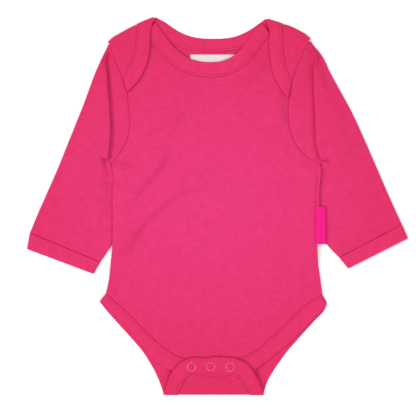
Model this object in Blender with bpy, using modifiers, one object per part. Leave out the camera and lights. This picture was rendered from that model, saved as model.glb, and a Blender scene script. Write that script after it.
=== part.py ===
"""Long-sleeved baby bodysuit with an envelope neck, laid flat on its back, front up.

Everything in plan is in millimetres: x from the garment's centre line, with the wearer's
left side at +x, and y above its crotch fold. Heights are above the surface it lies on.
Each piece of cloth is an open surface through curves worked out from the tables below,
given its thickness by a Solidify modifier.
"""
from collections import namedtuple

import bmesh
import bpy
import numpy as np

# ---------------------------------------------------------------- cloth and levels, mm
MM = 0.001
WALL = 1.1                     # jersey
BAND = 1.7                     # rib, folded double
GAP = 0.35                     # left between pieces at a seam, and between resting layers
PITCH = WALL + GAP             # from one folded layer of jersey to the next
STEP = BAND + GAP              # from one panel to the panel that lies over its bands
BACK = WALL / 2                # middle height of the back panel
FRONT = BACK + STEP            # middle height of the front panel
LAP = FRONT + STEP             # middle height of the shoulder laps
BAND_RISE = (BAND - WALL) / 2  # a band's middle above that of the panel it is sewn to
BOX_CENTRE = (5.69, 195.72)    # the garment's middle in plan, which stands on the origin

FRONT_FULL = 1.5               # how far the front rises over its middle
FRONT_EDGE = 22.0              # width along its sides that lies flat
FRONT_SLOPE = 45.0             # width over which it climbs from there
SIDE_DIP = 0.6                 # how far the front's edge comes down to meet the back's
SIDE_DIP_WIDTH = 8.0
SLEEVE_TOP = 2.4               # middle height of the upper layer along a sleeve's edges
SLEEVE_FULL = 1.5              # how far the upper layer rises over the middle of a sleeve
SLEEVE_SLOPE = 26.0            # width over which it climbs there
CUFF_TOP = 3.25                # middle height of a cuff's upper layer
SIDE_LIFT = SLEEVE_TOP + WALL / 2 + GAP         # of the body where it lies on a sleeve
LIFT_FLAT = 8.0                # width of the body's side that lies on a sleeve
LIFT_SLOPE = 17.0              # width over which it comes down to the surface again

CROTCH_FOLD = 0.6              # where the back tail starts to roll over, above y = 0
CROTCH_RADIUS = 1.6
SHOULDER_INSET = (LAP - BACK) / 2 + WALL / 2    # from the shoulder's outline to its roll
FLAP_LEVEL = LAP + 1.25        # middle height of the flap where the snaps hold it
FLAP_RISE = 19.0               # width over which it climbs there from the fold
LAP_TIP = 1.6                  # width of the pointed lower end of a shoulder lap

PLEAT_OVERLAP = 4.0            # depth of the fold of sleeve that lies along each armhole
PLEAT_SETTLE = 42.0            # width over which the sleeve comes down from that fold
PLEAT_CREST = 6.0              # from the sleeve's inner edge to where the dying fold starts
PLEAT_CLIMB = 22.0             # width over which the dying fold rises
PLEAT_TAIL = 60.0              # how far below the underarm it reaches

SNAP_RADIUS = 4.2              # of the open ring, to the middle of its wire
SNAP_WIRE = 0.55
SNAP_MATE_RADIUS = 4.4
SNAP_MATE_THICK = 0.95
LABEL_THICK = 0.8
TAB_HANG = 2.2                 # how far the side tab's free edge hangs below its sewn one
TAB_BEND = 9.0                 # width over which it comes down

SIDES = ("right", "left")      # the wearer's: right is -x, left is +x

# ---------------------------------------------------------------- the cut, mm
Spot = namedtuple("Spot", "x y")
Section = namedtuple("Section", "edge_x edge_y seam_x seam_y")   # across a rib band
Reach = namedtuple("Reach", "starts full ends gone")             # heights y along a side
Crease = namedtuple("Crease", "x y heading length width depth")

SIDE_SEAM = {          # underarm to the top of the leg
    "right": (Spot(-106.0, 241.8), Spot(-104.3, 235), Spot(-102.8, 226), Spot(-103.4, 216),
              Spot(-104.0, 199), Spot(-103.7, 180), Spot(-104.8, 150), Spot(-106.0, 139),
              Spot(-108.3, 118), Spot(-111.0, 105)),
    "left": (Spot(114.0, 240), Spot(114.2, 233), Spot(113.4, 225), Spot(112.5, 216),
             Spot(112.0, 199), Spot(110.8, 177), Spot(110.4, 150), Spot(111.0, 139),
             Spot(113.8, 118), Spot(115.6, 103.5)),
}
ARMHOLE = {            # underarm to the shoulder; the 9th and 10th rows bound the lap's band
    "right": (Spot(-106.0, 241.8), Spot(-101.0, 246.5), Spot(-95.5, 253), Spot(-91.0, 260.4),
              Spot(-88.0, 268), Spot(-86.5, 277), Spot(-86.2, 288), Spot(-87.3, 300),
              Spot(-89.0, 315.5), Spot(-94.2, 330.5), Spot(-99.2, 344), Spot(-103.5, 354),
              Spot(-106.6, 365)),
    "left": (Spot(114.0, 240), Spot(108.5, 242.3), Spot(102.5, 246), Spot(92.0, 256),
             Spot(86.5, 264), Spot(82.3, 275), Spot(80.3, 287), Spot(79.9, 298),
             Spot(80.4, 308.5), Spot(83.6, 326.5), Spot(87.5, 337.4), Spot(92.0, 348.6),
             Spot(101.7, 366)),
}
LAP_ROWS = (8, 9)      # those two rows
SHOULDER_EDGE = {      # outline of the shoulder, from the arm to the lap's band seam
    "right": (Spot(-108.0, 368.2), Spot(-96.0, 376.8), Spot(-85.6, 383), Spot(-79.8, 386.6)),
    "left": (Spot(103.2, 370.6), Spot(93.0, 378.4), Spot(82.4, 384), Spot(74.6, 387.3)),
}
LAP_BAND = {           # armhole up to the shoulder roll
    "right": (Section(-89.0, 315.5, -94.2, 330.5), Section(-82.8, 321.5, -90.3, 338.0),
              Section(-77.5, 327.5, -86.6, 344.0), Section(-72.8, 335.0, -83.5, 350.5),
              Section(-69.4, 343.0, -81.6, 356.0), Section(-66.8, 353.0, -80.2, 363.0),
              Section(-65.3, 364.0, -79.4, 370.0), Section(-63.2, 390.6, -78.6, 384.3)),
    "left": (Section(80.4, 308.5, 83.6, 326.5), Section(74.8, 314.8, 81.2, 332.0),
             Section(70.2, 322.0, 79.2, 337.0), Section(66.0, 330.5, 77.3, 342.5),
             Section(63.0, 339.0, 76.0, 348.5), Section(60.9, 349.5, 75.0, 355.5),
             Section(59.9, 361.0, 74.4, 363.5), Section(60.2, 389.2, 73.5, 385.0)),
}
BACK_NECK = {          # shoulder roll to the centre
    "right": (Section(-63.2, 390.6, -78.6, 384.3), Section(-57.0, 391.3, -68.0, 379.5),
              Section(-50.5, 387.5, -58.5, 375.5), Section(-42.0, 381.9, -48.5, 370.0),
              Section(-31.5, 376.0, -36.5, 364.0), Section(-21.0, 372.5, -24.0, 360.2),
              Section(-10.5, 371.0, -12.0, 358.6), Section(0.0, 370.8, 0.0, 358.2)),
    "left": (Section(60.2, 389.2, 73.5, 385.0), Section(54.8, 389.7, 64.5, 378.8),
             Section(49.5, 385.9, 57.5, 374.5), Section(41.8, 380.4, 48.5, 368.8),
             Section(32.0, 375.6, 37.5, 363.8), Section(21.0, 372.2, 24.0, 360.0),
             Section(10.5, 371.0, 12.0, 358.5), Section(0.0, 370.8, 0.0, 358.2)),
}
FRONT_NECK_EDGE = (    # free edge of the front neck's band, right shoulder to left
    Spot(-59.8, 388.8), Spot(-54.5, 381.5), Spot(-48.5, 373), Spot(-41.0, 364),
    Spot(-32.5, 356), Spot(-23.0, 350.4), Spot(-12.0, 347.3), Spot(0.0, 346.6),
    Spot(10.5, 347.8), Spot(20.0, 351.6), Spot(28.5, 358.5), Spot(35.5, 367),
    Spot(42.0, 376.5), Spot(48.3, 384), Spot(53.5, 387.8))
NECK_BAND_WIDTH = 15.4
FRONT_LEG = {          # side seam to the centre of the tail
    "right": (Section(-117.0, 96.8, -111.0, 105.0), Section(-108.0, 88.0, -102.0, 96.5),
              Section(-99.5, 80.0, -92.5, 88.5), Section(-91.0, 71.5, -83.0, 79.5),
              Section(-82.0, 61.0, -73.5, 69.5), Section(-73.5, 50.7, -64.0, 60.0),
              Section(-64.3, 39.5, -54.5, 51.0), Section(-53.2, 29.8, -44.0, 43.5),
              Section(-39.3, 22.5, -33.5, 37.8), Section(-22.0, 19.5, -20.5, 34.8),
              Section(0.0, 18.8, 0.0, 33.8)),
    "left": (Section(120.0, 93.0, 115.6, 103.5), Section(113.2, 84.5, 105.0, 97.5),
             Section(105.2, 76.8, 95.5, 90.5), Section(97.0, 68.5, 86.0, 82.0),
             Section(87.6, 59.8, 76.5, 72.5), Section(78.5, 51.2, 67.0, 63.5),
             Section(68.5, 43.0, 58.0, 54.5), Section(57.8, 34.2, 48.5, 46.7),
             Section(45.8, 26.0, 39.0, 41.2), Section(31.0, 21.3, 27.0, 36.6),
             Section(15.0, 19.0, 13.5, 34.2), Section(0.0, 18.8, 0.0, 33.8)),
}
BACK_LEG = {           # side seam to the crotch fold
    "right": (Section(-117.8, 96.3, -111.0, 105.0), Section(-110.0, 86.5, -99.2, 96.5),
              Section(-100.8, 76.0, -89.7, 86.0), Section(-91.2, 65.5, -80.2, 75.6),
              Section(-81.8, 55.0, -70.6, 65.1), Section(-72.9, 44.5, -61.2, 54.1),
              Section(-66.0, 34.0, -53.0, 41.3), Section(-60.0, 23.6, -46.2, 29.1),
              Section(-55.2, 13.0, -40.6, 16.8), Section(-50.6, 0.6, -34.8, 0.6)),
    "left": (Section(120.4, 95.2, 115.6, 103.5), Section(117.2, 86.8, 106.2, 96.9),
             Section(107.1, 76.0, 96.5, 86.8), Section(97.6, 65.6, 86.8, 76.0),
             Section(88.2, 55.0, 77.2, 65.2), Section(79.0, 44.6, 67.0, 53.8),
             Section(71.2, 34.0, 58.8, 42.4), Section(64.0, 23.6, 51.0, 30.5),
             Section(58.0, 13.0, 44.2, 18.0), Section(53.9, 0.6, 38.6, 0.6)),
}
FLAP = {               # the folded-up tail: crotch fold to the centre of its top edge
    "right": (Section(-50.6, 0.6, -34.8, 0.6), Section(-46.3, 11.0, -31.0, 9.5),
              Section(-43.0, 19.5, -28.6, 14.0), Section(-38.5, 26.5, -26.0, 17.5),
              Section(-33.0, 32.0, -23.0, 20.0), Section(-27.0, 35.7, -18.0, 20.9),
              Section(-19.0, 37.7, -12.5, 21.0), Section(-9.5, 38.4, -6.0, 20.6),
              Section(0.0, 38.5, 0.0, 20.3)),
    "left": (Section(53.9, 0.6, 38.6, 0.6), Section(50.0, 9.5, 35.2, 6.8),
             Section(46.5, 17.0, 32.2, 10.8), Section(42.5, 24.2, 29.5, 14.6),
             Section(38.0, 30.0, 26.5, 17.8), Section(32.5, 34.3, 22.0, 20.2),
             Section(25.5, 37.0, 16.5, 20.2), Section(13.0, 38.2, 8.5, 20.0),
             Section(0.0, 38.5, 0.0, 20.3)),
}
SLEEVE_OUTER = {       # outline, from the shoulder to the cuff seam
    "right": (Spot(-110.4, 364.0), Spot(-113.0, 356.5), Spot(-120.5, 339), Spot(-133.2, 307),
              Spot(-149.8, 265.5), Spot(-162.5, 234), Spot(-171.5, 213.5), Spot(-181.0, 192),
              Spot(-191.0, 168.2)),
    "left": (Spot(107.2, 365.6), Spot(111.6, 358.8), Spot(117.2, 350.3), Spot(122.5, 339),
             Spot(134.0, 318), Spot(145.7, 296.6), Spot(160.3, 265), Spot(174.0, 233.6),
             Spot(187.7, 202), Spot(199.2, 177)),
}
UNDERARM_ROW = {"right": 4, "left": 6}      # its row level with the underarm
SLEEVE_INNER = {       # outline, from the underarm to the cuff seam
    "right": (Spot(-107.6, 240.5), Spot(-106.8, 234.0), Spot(-104.4, 226), Spot(-101.5, 216),
              Spot(-98.5, 203), Spot(-97.8, 189), Spot(-99.3, 174), Spot(-103.2, 160),
              Spot(-109.2, 149.4), Spot(-117.2, 137.6)),
    "left": (Spot(115.4, 238.8), Spot(116.2, 233.0), Spot(115.2, 226), Spot(111.6, 215),
             Spot(108.2, 203), Spot(107.6, 189), Spot(110.0, 175), Spot(114.6, 165),
             Spot(123.0, 153.2), Spot(133.4, 142.4)),
}
PLEAT = {              # the fold that lies along the armhole, underarm to shoulder
    "right": (Spot(-107.6, 240.5), Spot(-108.4, 248), Spot(-106.4, 259.4), Spot(-105.3, 273),
              Spot(-106.0, 286), Spot(-107.3, 302), Spot(-109.2, 323), Spot(-109.4, 340),
              Spot(-108.2, 362.4)),
    "left": (Spot(115.4, 238.8), Spot(112.2, 249), Spot(108.8, 260), Spot(107.6, 277),
             Spot(107.0, 296), Spot(105.9, 314), Spot(105.3, 329), Spot(104.4, 346),
             Spot(103.4, 363.6)),
}
CUFF_HEM = {           # outer and inner end
    "right": (Spot(-193.6, 152.6), Spot(-123.6, 126.4)),
    "left": (Spot(205.0, 163.8), Spot(142.0, 132.2)),
}
FRONT_REACH = Reach(368, 336, 112, 62)          # where the front is full
SIDE_SEAM_REACH = Reach(238, 228, 114, 106)     # where its edges meet the back's
SIDE_REACH = {         # where each side of the body lies on the sleeve beside it
    "right": Reach(240, 226, 158, 140),
    "left": Reach(238, 224, 152, 132),
}
SNAPS = (Spot(-21.5, 28.6), Spot(-1.4, 28.8), Spot(18.8, 28.0))
NECK_LABEL = (Spot(-22.8, 336.0), Spot(24.2, 355.2))
SIDE_TAB = (Spot(107.6, 156.4), Spot(119.6, 196.0))
FRONT_CREASES = (      # soft troughs, and ridges where the depth is positive
    Crease(-62, 214, 128, 60, 11, -0.7),
    Crease(-38, 208, 20, 46, 12, 0.5),
    Crease(-84, 116, 108, 50, 10, -0.6),
    Crease(78, 196, 68, 62, 12, -0.6),
    Crease(60, 300, 118, 48, 12, 0.5),
    Crease(-20, 290, 80, 70, 14, -0.4),
)

# ---------------------------------------------------------------- colours
PINK = (0.80, 0.035, 0.155)
PINK_RIB = (0.76, 0.032, 0.145)
MAGENTA = (0.86, 0.02, 0.26)
OFF_WHITE = (0.86, 0.84, 0.82)
SNAP_METAL = (0.78, 0.62, 0.63)


# ---------------------------------------------------------------- curves and grids
def ease(share):
    """Smooth step from 0 to 1."""
    share = np.clip(share, 0.0, 1.0)
    return share * share * (3.0 - 2.0 * share)


def ramp(value, start, end):
    """Smooth step from 0 at the start value to 1 at the end value, either way round."""
    return ease((value - start) / (end - start))


def even(count):
    """Fractions that cut a curve into count equal stretches."""
    return np.linspace(0.0, 1.0, count + 1)


def dense_curve(rows):
    """A smooth curve through the rows of a table, with the length run at each of its points."""
    points = np.array(rows, dtype=float)
    knots = np.concatenate(([0.0], np.cumsum(np.linalg.norm(np.diff(points, axis=0), axis=1))))
    slopes = np.gradient(points, knots, axis=0)
    along = np.linspace(0.0, knots[-1], 40 * len(points))
    span = np.clip(np.searchsorted(knots, along, side="right") - 1, 0, len(knots) - 2)
    width = (knots[span + 1] - knots[span])[:, None]
    t = (along - knots[span])[:, None] / width
    line = ((2 * t**3 - 3 * t**2 + 1) * points[span] + (t**3 - 2 * t**2 + t) * width * slopes[span]
            + (3 * t**2 - 2 * t**3) * points[span + 1] + (t**3 - t**2) * width * slopes[span + 1])
    run = np.concatenate(([0.0], np.cumsum(np.linalg.norm(np.diff(line, axis=0), axis=1))))
    return line, run / run[-1]


def curve(rows, fractions):
    """Points on the smooth curve through the rows, at fractions of its length."""
    line, run = dense_curve(rows)
    return np.column_stack([np.interp(fractions, run, column) for column in line.T])


def fraction_at(rows, index):
    """How far along the curve one of its rows lies."""
    line, run = dense_curve(rows)
    return run[np.argmin(np.linalg.norm(line - np.array(rows[index]), axis=1))]


def between(start, end, shares):
    """Points on the straight line from start to end, at shares of it."""
    return start + (end - start) * np.asarray(shares)[:, None]


def unit(vectors):
    return vectors / np.linalg.norm(vectors, axis=-1, keepdims=True)


def left_of(points):
    """Unit normals on the left of a run of plan points."""
    ahead = unit(np.gradient(points, axis=0))
    return np.column_stack((-ahead[:, 1], ahead[:, 0]))


def coons(bottom, top, left, right):
    """Grid of plan points between four edges: bottom and top run left to right, sides run up."""
    u = run_share(bottom, top)[None, :, None]
    t = run_share(left, right)[:, None, None]
    ruled = (1 - t) * bottom[None] + t * top[None] + (1 - u) * left[:, None] + u * right[:, None]
    corners = ((1 - t) * ((1 - u) * bottom[0] + u * bottom[-1])
               + t * ((1 - u) * top[0] + u * top[-1]))
    return ruled - corners


def run_share(first, second):
    """Mean share of length run along two edges with the same number of points."""
    shares = []
    for edge in (first, second):
        steps = np.linalg.norm(np.diff(edge, axis=0), axis=1)
        run = np.concatenate(([0.0], np.cumsum(steps)))
        shares.append(run / run[-1])
    return (shares[0] + shares[1]) / 2


def at_height(points, height):
    """Plan points with a height each."""
    height = np.broadcast_to(height, points.shape[:-1])
    return np.concatenate((points, height[..., None]), axis=-1)


def roll(start, outward, centre, radius, turns):
    """Points round a half turn over an edge: from below at the start line to above it."""
    angle = (np.pi * np.asarray(turns))[:, None, None]
    plan = start[None] + outward[None] * radius * np.sin(angle)
    height = centre - radius * np.cos(angle[..., 0])
    return at_height(plan, height)


# ---------------------------------------------------------------- plan curves shared by pieces
COLUMNS_SHOULDER = 3
COLUMNS_NECK = 14
COLUMNS_LEG = 7
COLUMNS_TAIL = 6
ROWS_SIDE = 7
ROWS_ARMHOLE = (7, 2, 4)       # below the lap, across its band, above it
BELOW_LAP = np.array((0.0, 0.05, 0.16, 0.32, 0.5, 0.67, 0.84, 1.0))    # closer at the underarm
LAP_POINTS = (8, 1, 5)         # points of the armhole below the lap's band, on it, and above
ROWS_ROLL = 6
ROWS_FLAP = 5


def armhole_fractions(side):
    """Fractions along an armhole, with points where the lap's band starts and ends."""
    low, high = (fraction_at(ARMHOLE[side], row) for row in LAP_ROWS)
    _, across, above = ROWS_ARMHOLE
    return np.concatenate((BELOW_LAP * low, low + even(across)[1:] * (high - low),
                           high + even(above)[1:] * (1 - high)))


def armhole(side):
    return curve(ARMHOLE[side], armhole_fractions(side))


def body_side(side):
    """From the top of the leg up the side seam and round the armhole to the shoulder."""
    seam = curve(SIDE_SEAM[side], even(ROWS_SIDE))[::-1]
    return np.vstack((seam[:-1], armhole(side)))


def shoulder_line(side):
    """Where the shoulder starts to roll, from the arm to the lap's band."""
    outline = curve(SHOULDER_EDGE[side], even(COLUMNS_SHOULDER))
    inward = left_of(outline) * (-1 if side == "right" else 1)
    line = outline + inward * SHOULDER_INSET
    line[0] = ARMHOLE[side][-1]
    line[-1] = LAP_BAND[side][-1][2:]
    return line


def shoulder_outward(line):
    """Directions in which a shoulder line rolls over."""
    normal = left_of(line)
    return normal * np.sign(normal[:, 1:2])


def band_rails(rows, fractions):
    """Free edge and seam of a rib band, at the same sections."""
    rails = curve(rows, fractions)
    return rails[:, :2], rails[:, 2:]


def front_neck_rails():
    edge = curve(FRONT_NECK_EDGE, even(COLUMNS_NECK))
    return edge, edge - left_of(edge) * NECK_BAND_WIDTH


def joined(right, left):
    """One run from the right end of a table to its left end."""
    return np.vstack((right, left[::-1][1:]))


def back_neck_rails():
    right = band_rails(BACK_NECK["right"], even(COLUMNS_NECK // 2))
    left = band_rails(BACK_NECK["left"], even(COLUMNS_NECK // 2))
    return joined(right[0], left[0]), joined(right[1], left[1])


def front_leg_rails():
    count = COLUMNS_LEG + COLUMNS_TAIL // 2
    right = band_rails(FRONT_LEG["right"], even(count))
    left = band_rails(FRONT_LEG["left"], even(count))
    return joined(right[0], left[0]), joined(right[1], left[1])


# ---------------------------------------------------------------- heights
def side_x(side, y):
    """The body's outline at a height y."""
    rows = np.array(SIDE_SEAM[side])[::-1]
    return np.interp(y, rows[:, 1], rows[:, 0])


def reach_share(reach, y):
    """How fully something that starts and ends along the body is there, from 0 to 1."""
    return ramp(y, reach.starts, reach.full) * ramp(y, reach.gone, reach.ends)


def side_lift(points):
    """How far the body is raised where its sides lie on the sleeves."""
    x, y = points[..., 0], points[..., 1]
    lift = np.zeros(x.shape)
    for side, reach in SIDE_REACH.items():
        depth = (x - side_x(side, y)) * (1 if side == "right" else -1)
        lift += SIDE_LIFT * reach_share(reach, y) * ramp(depth, LIFT_FLAT + LIFT_SLOPE, LIFT_FLAT)
    return lift


def crease_height(points, creases):
    """Sum of soft straight troughs and ridges."""
    height = np.zeros(points.shape[:-1])
    for crease in creases:
        heading = np.radians(crease.heading)
        x, y = points[..., 0] - crease.x, points[..., 1] - crease.y
        along = x * np.cos(heading) + y * np.sin(heading)
        across = y * np.cos(heading) - x * np.sin(heading)
        height += (crease.depth * np.exp(-(across / crease.width) ** 2)
                   * (1 - ease(np.abs(along) / (crease.length / 2))))
    return height


def front_height(points):
    """Middle height of the front panel: over the back, full in the middle, down at the sides."""
    x, y = points[..., 0], points[..., 1]
    depth = np.minimum(x - side_x("right", y), side_x("left", y) - x)
    inner = ramp(depth, FRONT_EDGE, FRONT_EDGE + FRONT_SLOPE) * reach_share(FRONT_REACH, y)
    at_seam = ramp(depth, SIDE_DIP_WIDTH, 0) * reach_share(SIDE_SEAM_REACH, y)
    return (FRONT + side_lift(points) + inner * (FRONT_FULL + crease_height(points, FRONT_CREASES))
            - SIDE_DIP * at_seam)


def back_height(points):
    return BACK + side_lift(points)


def lap_height(points):
    return front_height(points) + STEP


def flap_height(y):
    """Middle height of the folded-up tail, climbing from its fold to the snaps."""
    start = BACK + 2 * CROTCH_RADIUS
    return start + (FLAP_LEVEL - start) * ramp(y, CROTCH_FOLD, CROTCH_FOLD + FLAP_RISE)


# ---------------------------------------------------------------- objects
def material(name, colour, roughness, metallic=0.0):
    made = bpy.data.materials.new(name)
    made.use_nodes = True
    shader = made.node_tree.nodes["Principled BSDF"]
    shader.inputs["Base Color"].default_value = (*colour, 1.0)
    shader.inputs["Roughness"].default_value = roughness
    shader.inputs["Metallic"].default_value = metallic
    return made


def placed(points):
    """Garment millimetres to metres about the origin."""
    return (points - np.array([BOX_CENTRE[0], BOX_CENTRE[1], 0.0])) * MM


def cloth(name, grids, thickness, finish, collection):
    """Join grids of points into one surface, and make it a wall of cloth."""
    sheet = bmesh.new()
    for grid in grids:
        rows, columns = grid.shape[:2]
        verts = [[sheet.verts.new(point) for point in row] for row in placed(grid)]
        for row in range(rows - 1):
            for column in range(columns - 1):
                sheet.faces.new((verts[row][column], verts[row][column + 1],
                                 verts[row + 1][column + 1], verts[row + 1][column]))
    bmesh.ops.remove_doubles(sheet, verts=sheet.verts, dist=0.02 * MM)
    bmesh.ops.recalc_face_normals(sheet, faces=sheet.faces)
    mesh = bpy.data.meshes.new(name)
    sheet.to_mesh(mesh)
    sheet.free()
    mesh.shade_smooth()
    mesh.materials.append(finish)
    made = bpy.data.objects.new(name, mesh)
    collection.objects.link(made)
    wall = made.modifiers.new("Wall", "SOLIDIFY")
    wall.thickness = thickness * MM
    wall.offset = 0.0
    wall.use_even_offset = False
    wall.use_quality_normals = True
    return made


def strip(seam, edge, across=2):
    """Grid between a band's seam and its free edge, both runs of points in space."""
    share = even(across)[:, None, None]
    return (1 - share) * seam[None] + share * edge[None]


def held_off(seam, edge):
    """A band's seam line, moved off the panel it is sewn to."""
    return seam + unit(edge - seam) * GAP


# ---------------------------------------------------------------- body
def front_panel(finish, collection):
    """Neck, shoulders under the laps, armholes, sides and legs in one piece."""
    _, leg = front_leg_rails()
    _, neck = front_neck_rails()
    shoulders = {}
    for side in SIDES:
        end = neck[0] if side == "right" else neck[-1]
        outer = np.array(ARMHOLE[side][-1])
        shoulders[side] = between(outer, end, even(COLUMNS_SHOULDER))
    top = np.vstack((shoulders["right"][:-1], neck, shoulders["left"][::-1][1:]))
    plan = coons(leg, top, body_side("right"), body_side("left"))
    return cloth("front_panel", [at_height(plan, front_height(plan))], WALL, finish, collection)


def back_panel(finish, collection):
    """The back, its tail folded up over the front, and its shoulders lapped over the front."""
    legs = {side: band_rails(BACK_LEG[side], even(COLUMNS_LEG))[1] for side in SIDES}
    fold = between(legs["right"][-1], legs["left"][-1], even(COLUMNS_TAIL))
    bottom = np.vstack((legs["right"], fold[1:-1], legs["left"][::-1]))
    _, neck = back_neck_rails()
    top = np.vstack((shoulder_line("right")[:-1], neck, shoulder_line("left")[::-1][1:]))
    plan = coons(bottom, top, body_side("right"), body_side("left"))
    grids = [at_height(plan, back_height(plan))]
    grids += tail_grids(fold)
    grids += [grid for side in SIDES for grid in lap_grids(side)]
    return cloth("back_panel", grids, WALL, finish, collection)


def tail_grids(fold):
    """The roll at the crotch, and the flap above it."""
    down = np.tile((0.0, -1.0), (len(fold), 1))
    turn = roll(fold, down, BACK + CROTCH_RADIUS, CROTCH_RADIUS, even(ROWS_ROLL))
    sides = {}
    tops = {}
    for side in SIDES:
        _, seam = band_rails(FLAP[side], even(ROWS_FLAP + COLUMNS_TAIL // 2))
        sides[side] = seam[:ROWS_FLAP + 1]
        tops[side] = seam[ROWS_FLAP:]
    plan = coons(fold, joined(tops["right"], tops["left"]), sides["right"], sides["left"])
    return [turn, at_height(plan, flap_height(plan[..., 1]))]


def lap_grids(side):
    """The roll over a shoulder, and the lap that lies on the front below it."""
    line = shoulder_line(side)
    turn = roll(line, shoulder_outward(line), (LAP + BACK) / 2, (LAP - BACK) / 2,
                even(ROWS_ROLL))
    rows = ROWS_ARMHOLE[2]
    arm = armhole(side)[-rows - 1:]
    _, seam = band_rails(LAP_BAND[side], even(rows))
    seam[0] += unit(seam[1] - seam[0]) * LAP_TIP
    tip = between(arm[0], seam[0], even(COLUMNS_SHOULDER))
    plan = coons(tip, line, arm, seam)
    return [turn, at_height(plan, lap_height(plan))]


# ---------------------------------------------------------------- rib bands
def front_neck_binding(finish, collection):
    edge, seam = front_neck_rails()
    rails = [at_height(rail, front_height(rail) + BAND_RISE)
             for rail in (held_off(seam, edge), edge)]
    return cloth("neck_binding_front", [strip(*rails)], BAND, finish, collection)


def over_shoulder(side, lap, neck):
    """One rail of the back neck's band: up the lap, over the shoulder, to the centre back."""
    centre = (LAP + BACK) / 2 + BAND_RISE
    radius = (LAP - BACK) / 2
    outward = shoulder_outward(np.array([LAP_BAND[side][-1][:2], LAP_BAND[side][-1][2:]]))[:1]
    turn = roll(lap[-1:], outward, centre, radius, even(ROWS_ROLL)[::-1])[:, 0]
    on_lap = at_height(lap, lap_height(lap) + BAND_RISE)
    on_back = at_height(neck, back_height(neck) + BAND_RISE)
    return np.vstack((on_lap[:-1], turn, on_back[1:]))


def back_neck_binding(finish, collection):
    """Round the back neck and down the free edge of both laps, in one length."""
    halves = {}
    for side in SIDES:
        lap_edge, lap_seam = band_rails(LAP_BAND[side], even(ROWS_ARMHOLE[2] + 1))
        neck_edge, neck_seam = band_rails(BACK_NECK[side], even(COLUMNS_NECK // 2))
        halves[side] = (over_shoulder(side, held_off(lap_seam, lap_edge),
                                      held_off(neck_seam, neck_edge)),
                        over_shoulder(side, lap_edge, neck_edge))
    rails = [joined(halves["right"][rail], halves["left"][rail]) for rail in (0, 1)]
    return cloth("neck_binding_back", [strip(*rails)], BAND, finish, collection)


def front_leg_binding(finish, collection):
    """Down one leg, round the end of the front's tail, and up the other leg."""
    edge, seam = front_leg_rails()
    rails = [at_height(rail, front_height(rail) + BAND_RISE)
             for rail in (held_off(seam, edge), edge)]
    return cloth("leg_binding_front", [strip(*rails)], BAND, finish, collection)


def back_leg_binding(finish, collection):
    """Down one leg, over the crotch fold, round the flap, and back up the other leg."""
    halves = {}
    for side in SIDES:
        leg_edge, leg_seam = band_rails(BACK_LEG[side], even(COLUMNS_LEG))
        flap_edge, flap_seam = band_rails(FLAP[side], even(ROWS_FLAP + COLUMNS_TAIL // 2))
        rails = []
        for leg, flap in ((held_off(leg_seam, leg_edge), held_off(flap_seam, flap_edge)),
                          (leg_edge, flap_edge)):
            turn = roll(leg[-1:], np.array([[0.0, -1.0]]), BACK + BAND_RISE + CROTCH_RADIUS,
                        CROTCH_RADIUS, even(ROWS_ROLL))[:, 0]
            on_back = at_height(leg, back_height(leg) + BAND_RISE)
            on_flap = at_height(flap, flap_height(flap[:, 1]) + BAND_RISE)
            rails.append(np.vstack((on_back[:-1], turn, on_flap[1:])))
        halves[side] = rails
    rails = [joined(halves["right"][rail], halves["left"][rail]) for rail in (0, 1)]
    return cloth("leg_binding_back", [strip(*rails)], BAND, finish, collection)


# ---------------------------------------------------------------- sleeves
ROWS_SLEEVE = 9                # cuff to underarm
COLUMNS_SLEEVE = 5
BENDS_SLEEVE = 8               # faces round its inner edge, as many as a row of the cap has
FULL_ROWS = 1.5                # rows from the cuff over which the sleeve fills out
COLUMNS_CUFF = 4
BENDS_CUFF = 3
ROWS_CUFF = 3
SHOULDER_END = 0.972           # how far up the armhole the sleeve reaches
CAP_RISE = (0.58, 0.95)        # where it climbs to the lap's level, as shares of the armhole
PLEAT_GROWS = (0.0, 0.15)      # where the pleat grows, fades again, and leaves its swelling
PLEAT_FADES = (0.6, 0.9)
SWELL_FADES = (0.3, 0.5)
FIRST_SLOPE = 14.0             # width over which a sleeve's outer edge leaves its folded edge
STRIP = (0.1, 0.55, 1.0)       # from the pleat to the armhole
PLEAT_FLAT = (5.6, 4.5, 3.5, 2.5, 1.6, 0.8)    # where the pleat's points lie before it is folded


def pleat_section(overlap):
    """Across a full pleat: distance out from its fold, and rise over the cloth below."""
    half = PITCH / 2
    edge = WALL / 2
    return ((half + edge, 2 * PITCH), (edge, 1.5 * PITCH), (half + edge, PITCH),
            (half + edge + overlap, PITCH), (2 * half + edge + overlap, 0.5 * PITCH),
            (half + edge + overlap, 0.0))


def bend(centre, ahead, floor, radius, turns):
    """Points round a folded edge: turn 0 is on the upper layer, and 1 on the lower one."""
    angle = np.pi * np.asarray(turns)[:, None]
    plan = centre + ahead * radius * np.sin(angle)
    return at_height(plan, floor + radius + radius * np.cos(angle[:, 0]))


def tube_section(outer, inner, top, floor, half_wall, columns, bends):
    """One ring of a flattened tube: lower layer, outer edge, upper layer, inner edge.

    top gives the upper layer's height at each column."""
    ahead = unit(inner - outer)
    radii = (top[0] - floor) / 2, (top[-1] - floor) / 2
    near, far = outer + ahead * (radii[0] + half_wall), inner - ahead * (radii[1] + half_wall)
    shares = even(columns)
    return np.vstack((
        at_height(between(far, near, shares), floor),
        bend(near, -ahead, floor, radii[0], (0.75, 0.5, 0.25)),
        at_height(between(near, far, shares), top),
        bend(far, ahead, floor, radii[1], even(bends + 1)[1:-1])))


def pleat_swell(away):
    """Share of a pleat's height left where it dies out, away from the edge beside it."""
    return (ramp(away, PLEAT_CREST, PLEAT_CREST + PLEAT_CLIMB)
            * ramp(away, PLEAT_CREST + PLEAT_SETTLE, PLEAT_CREST))


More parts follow.
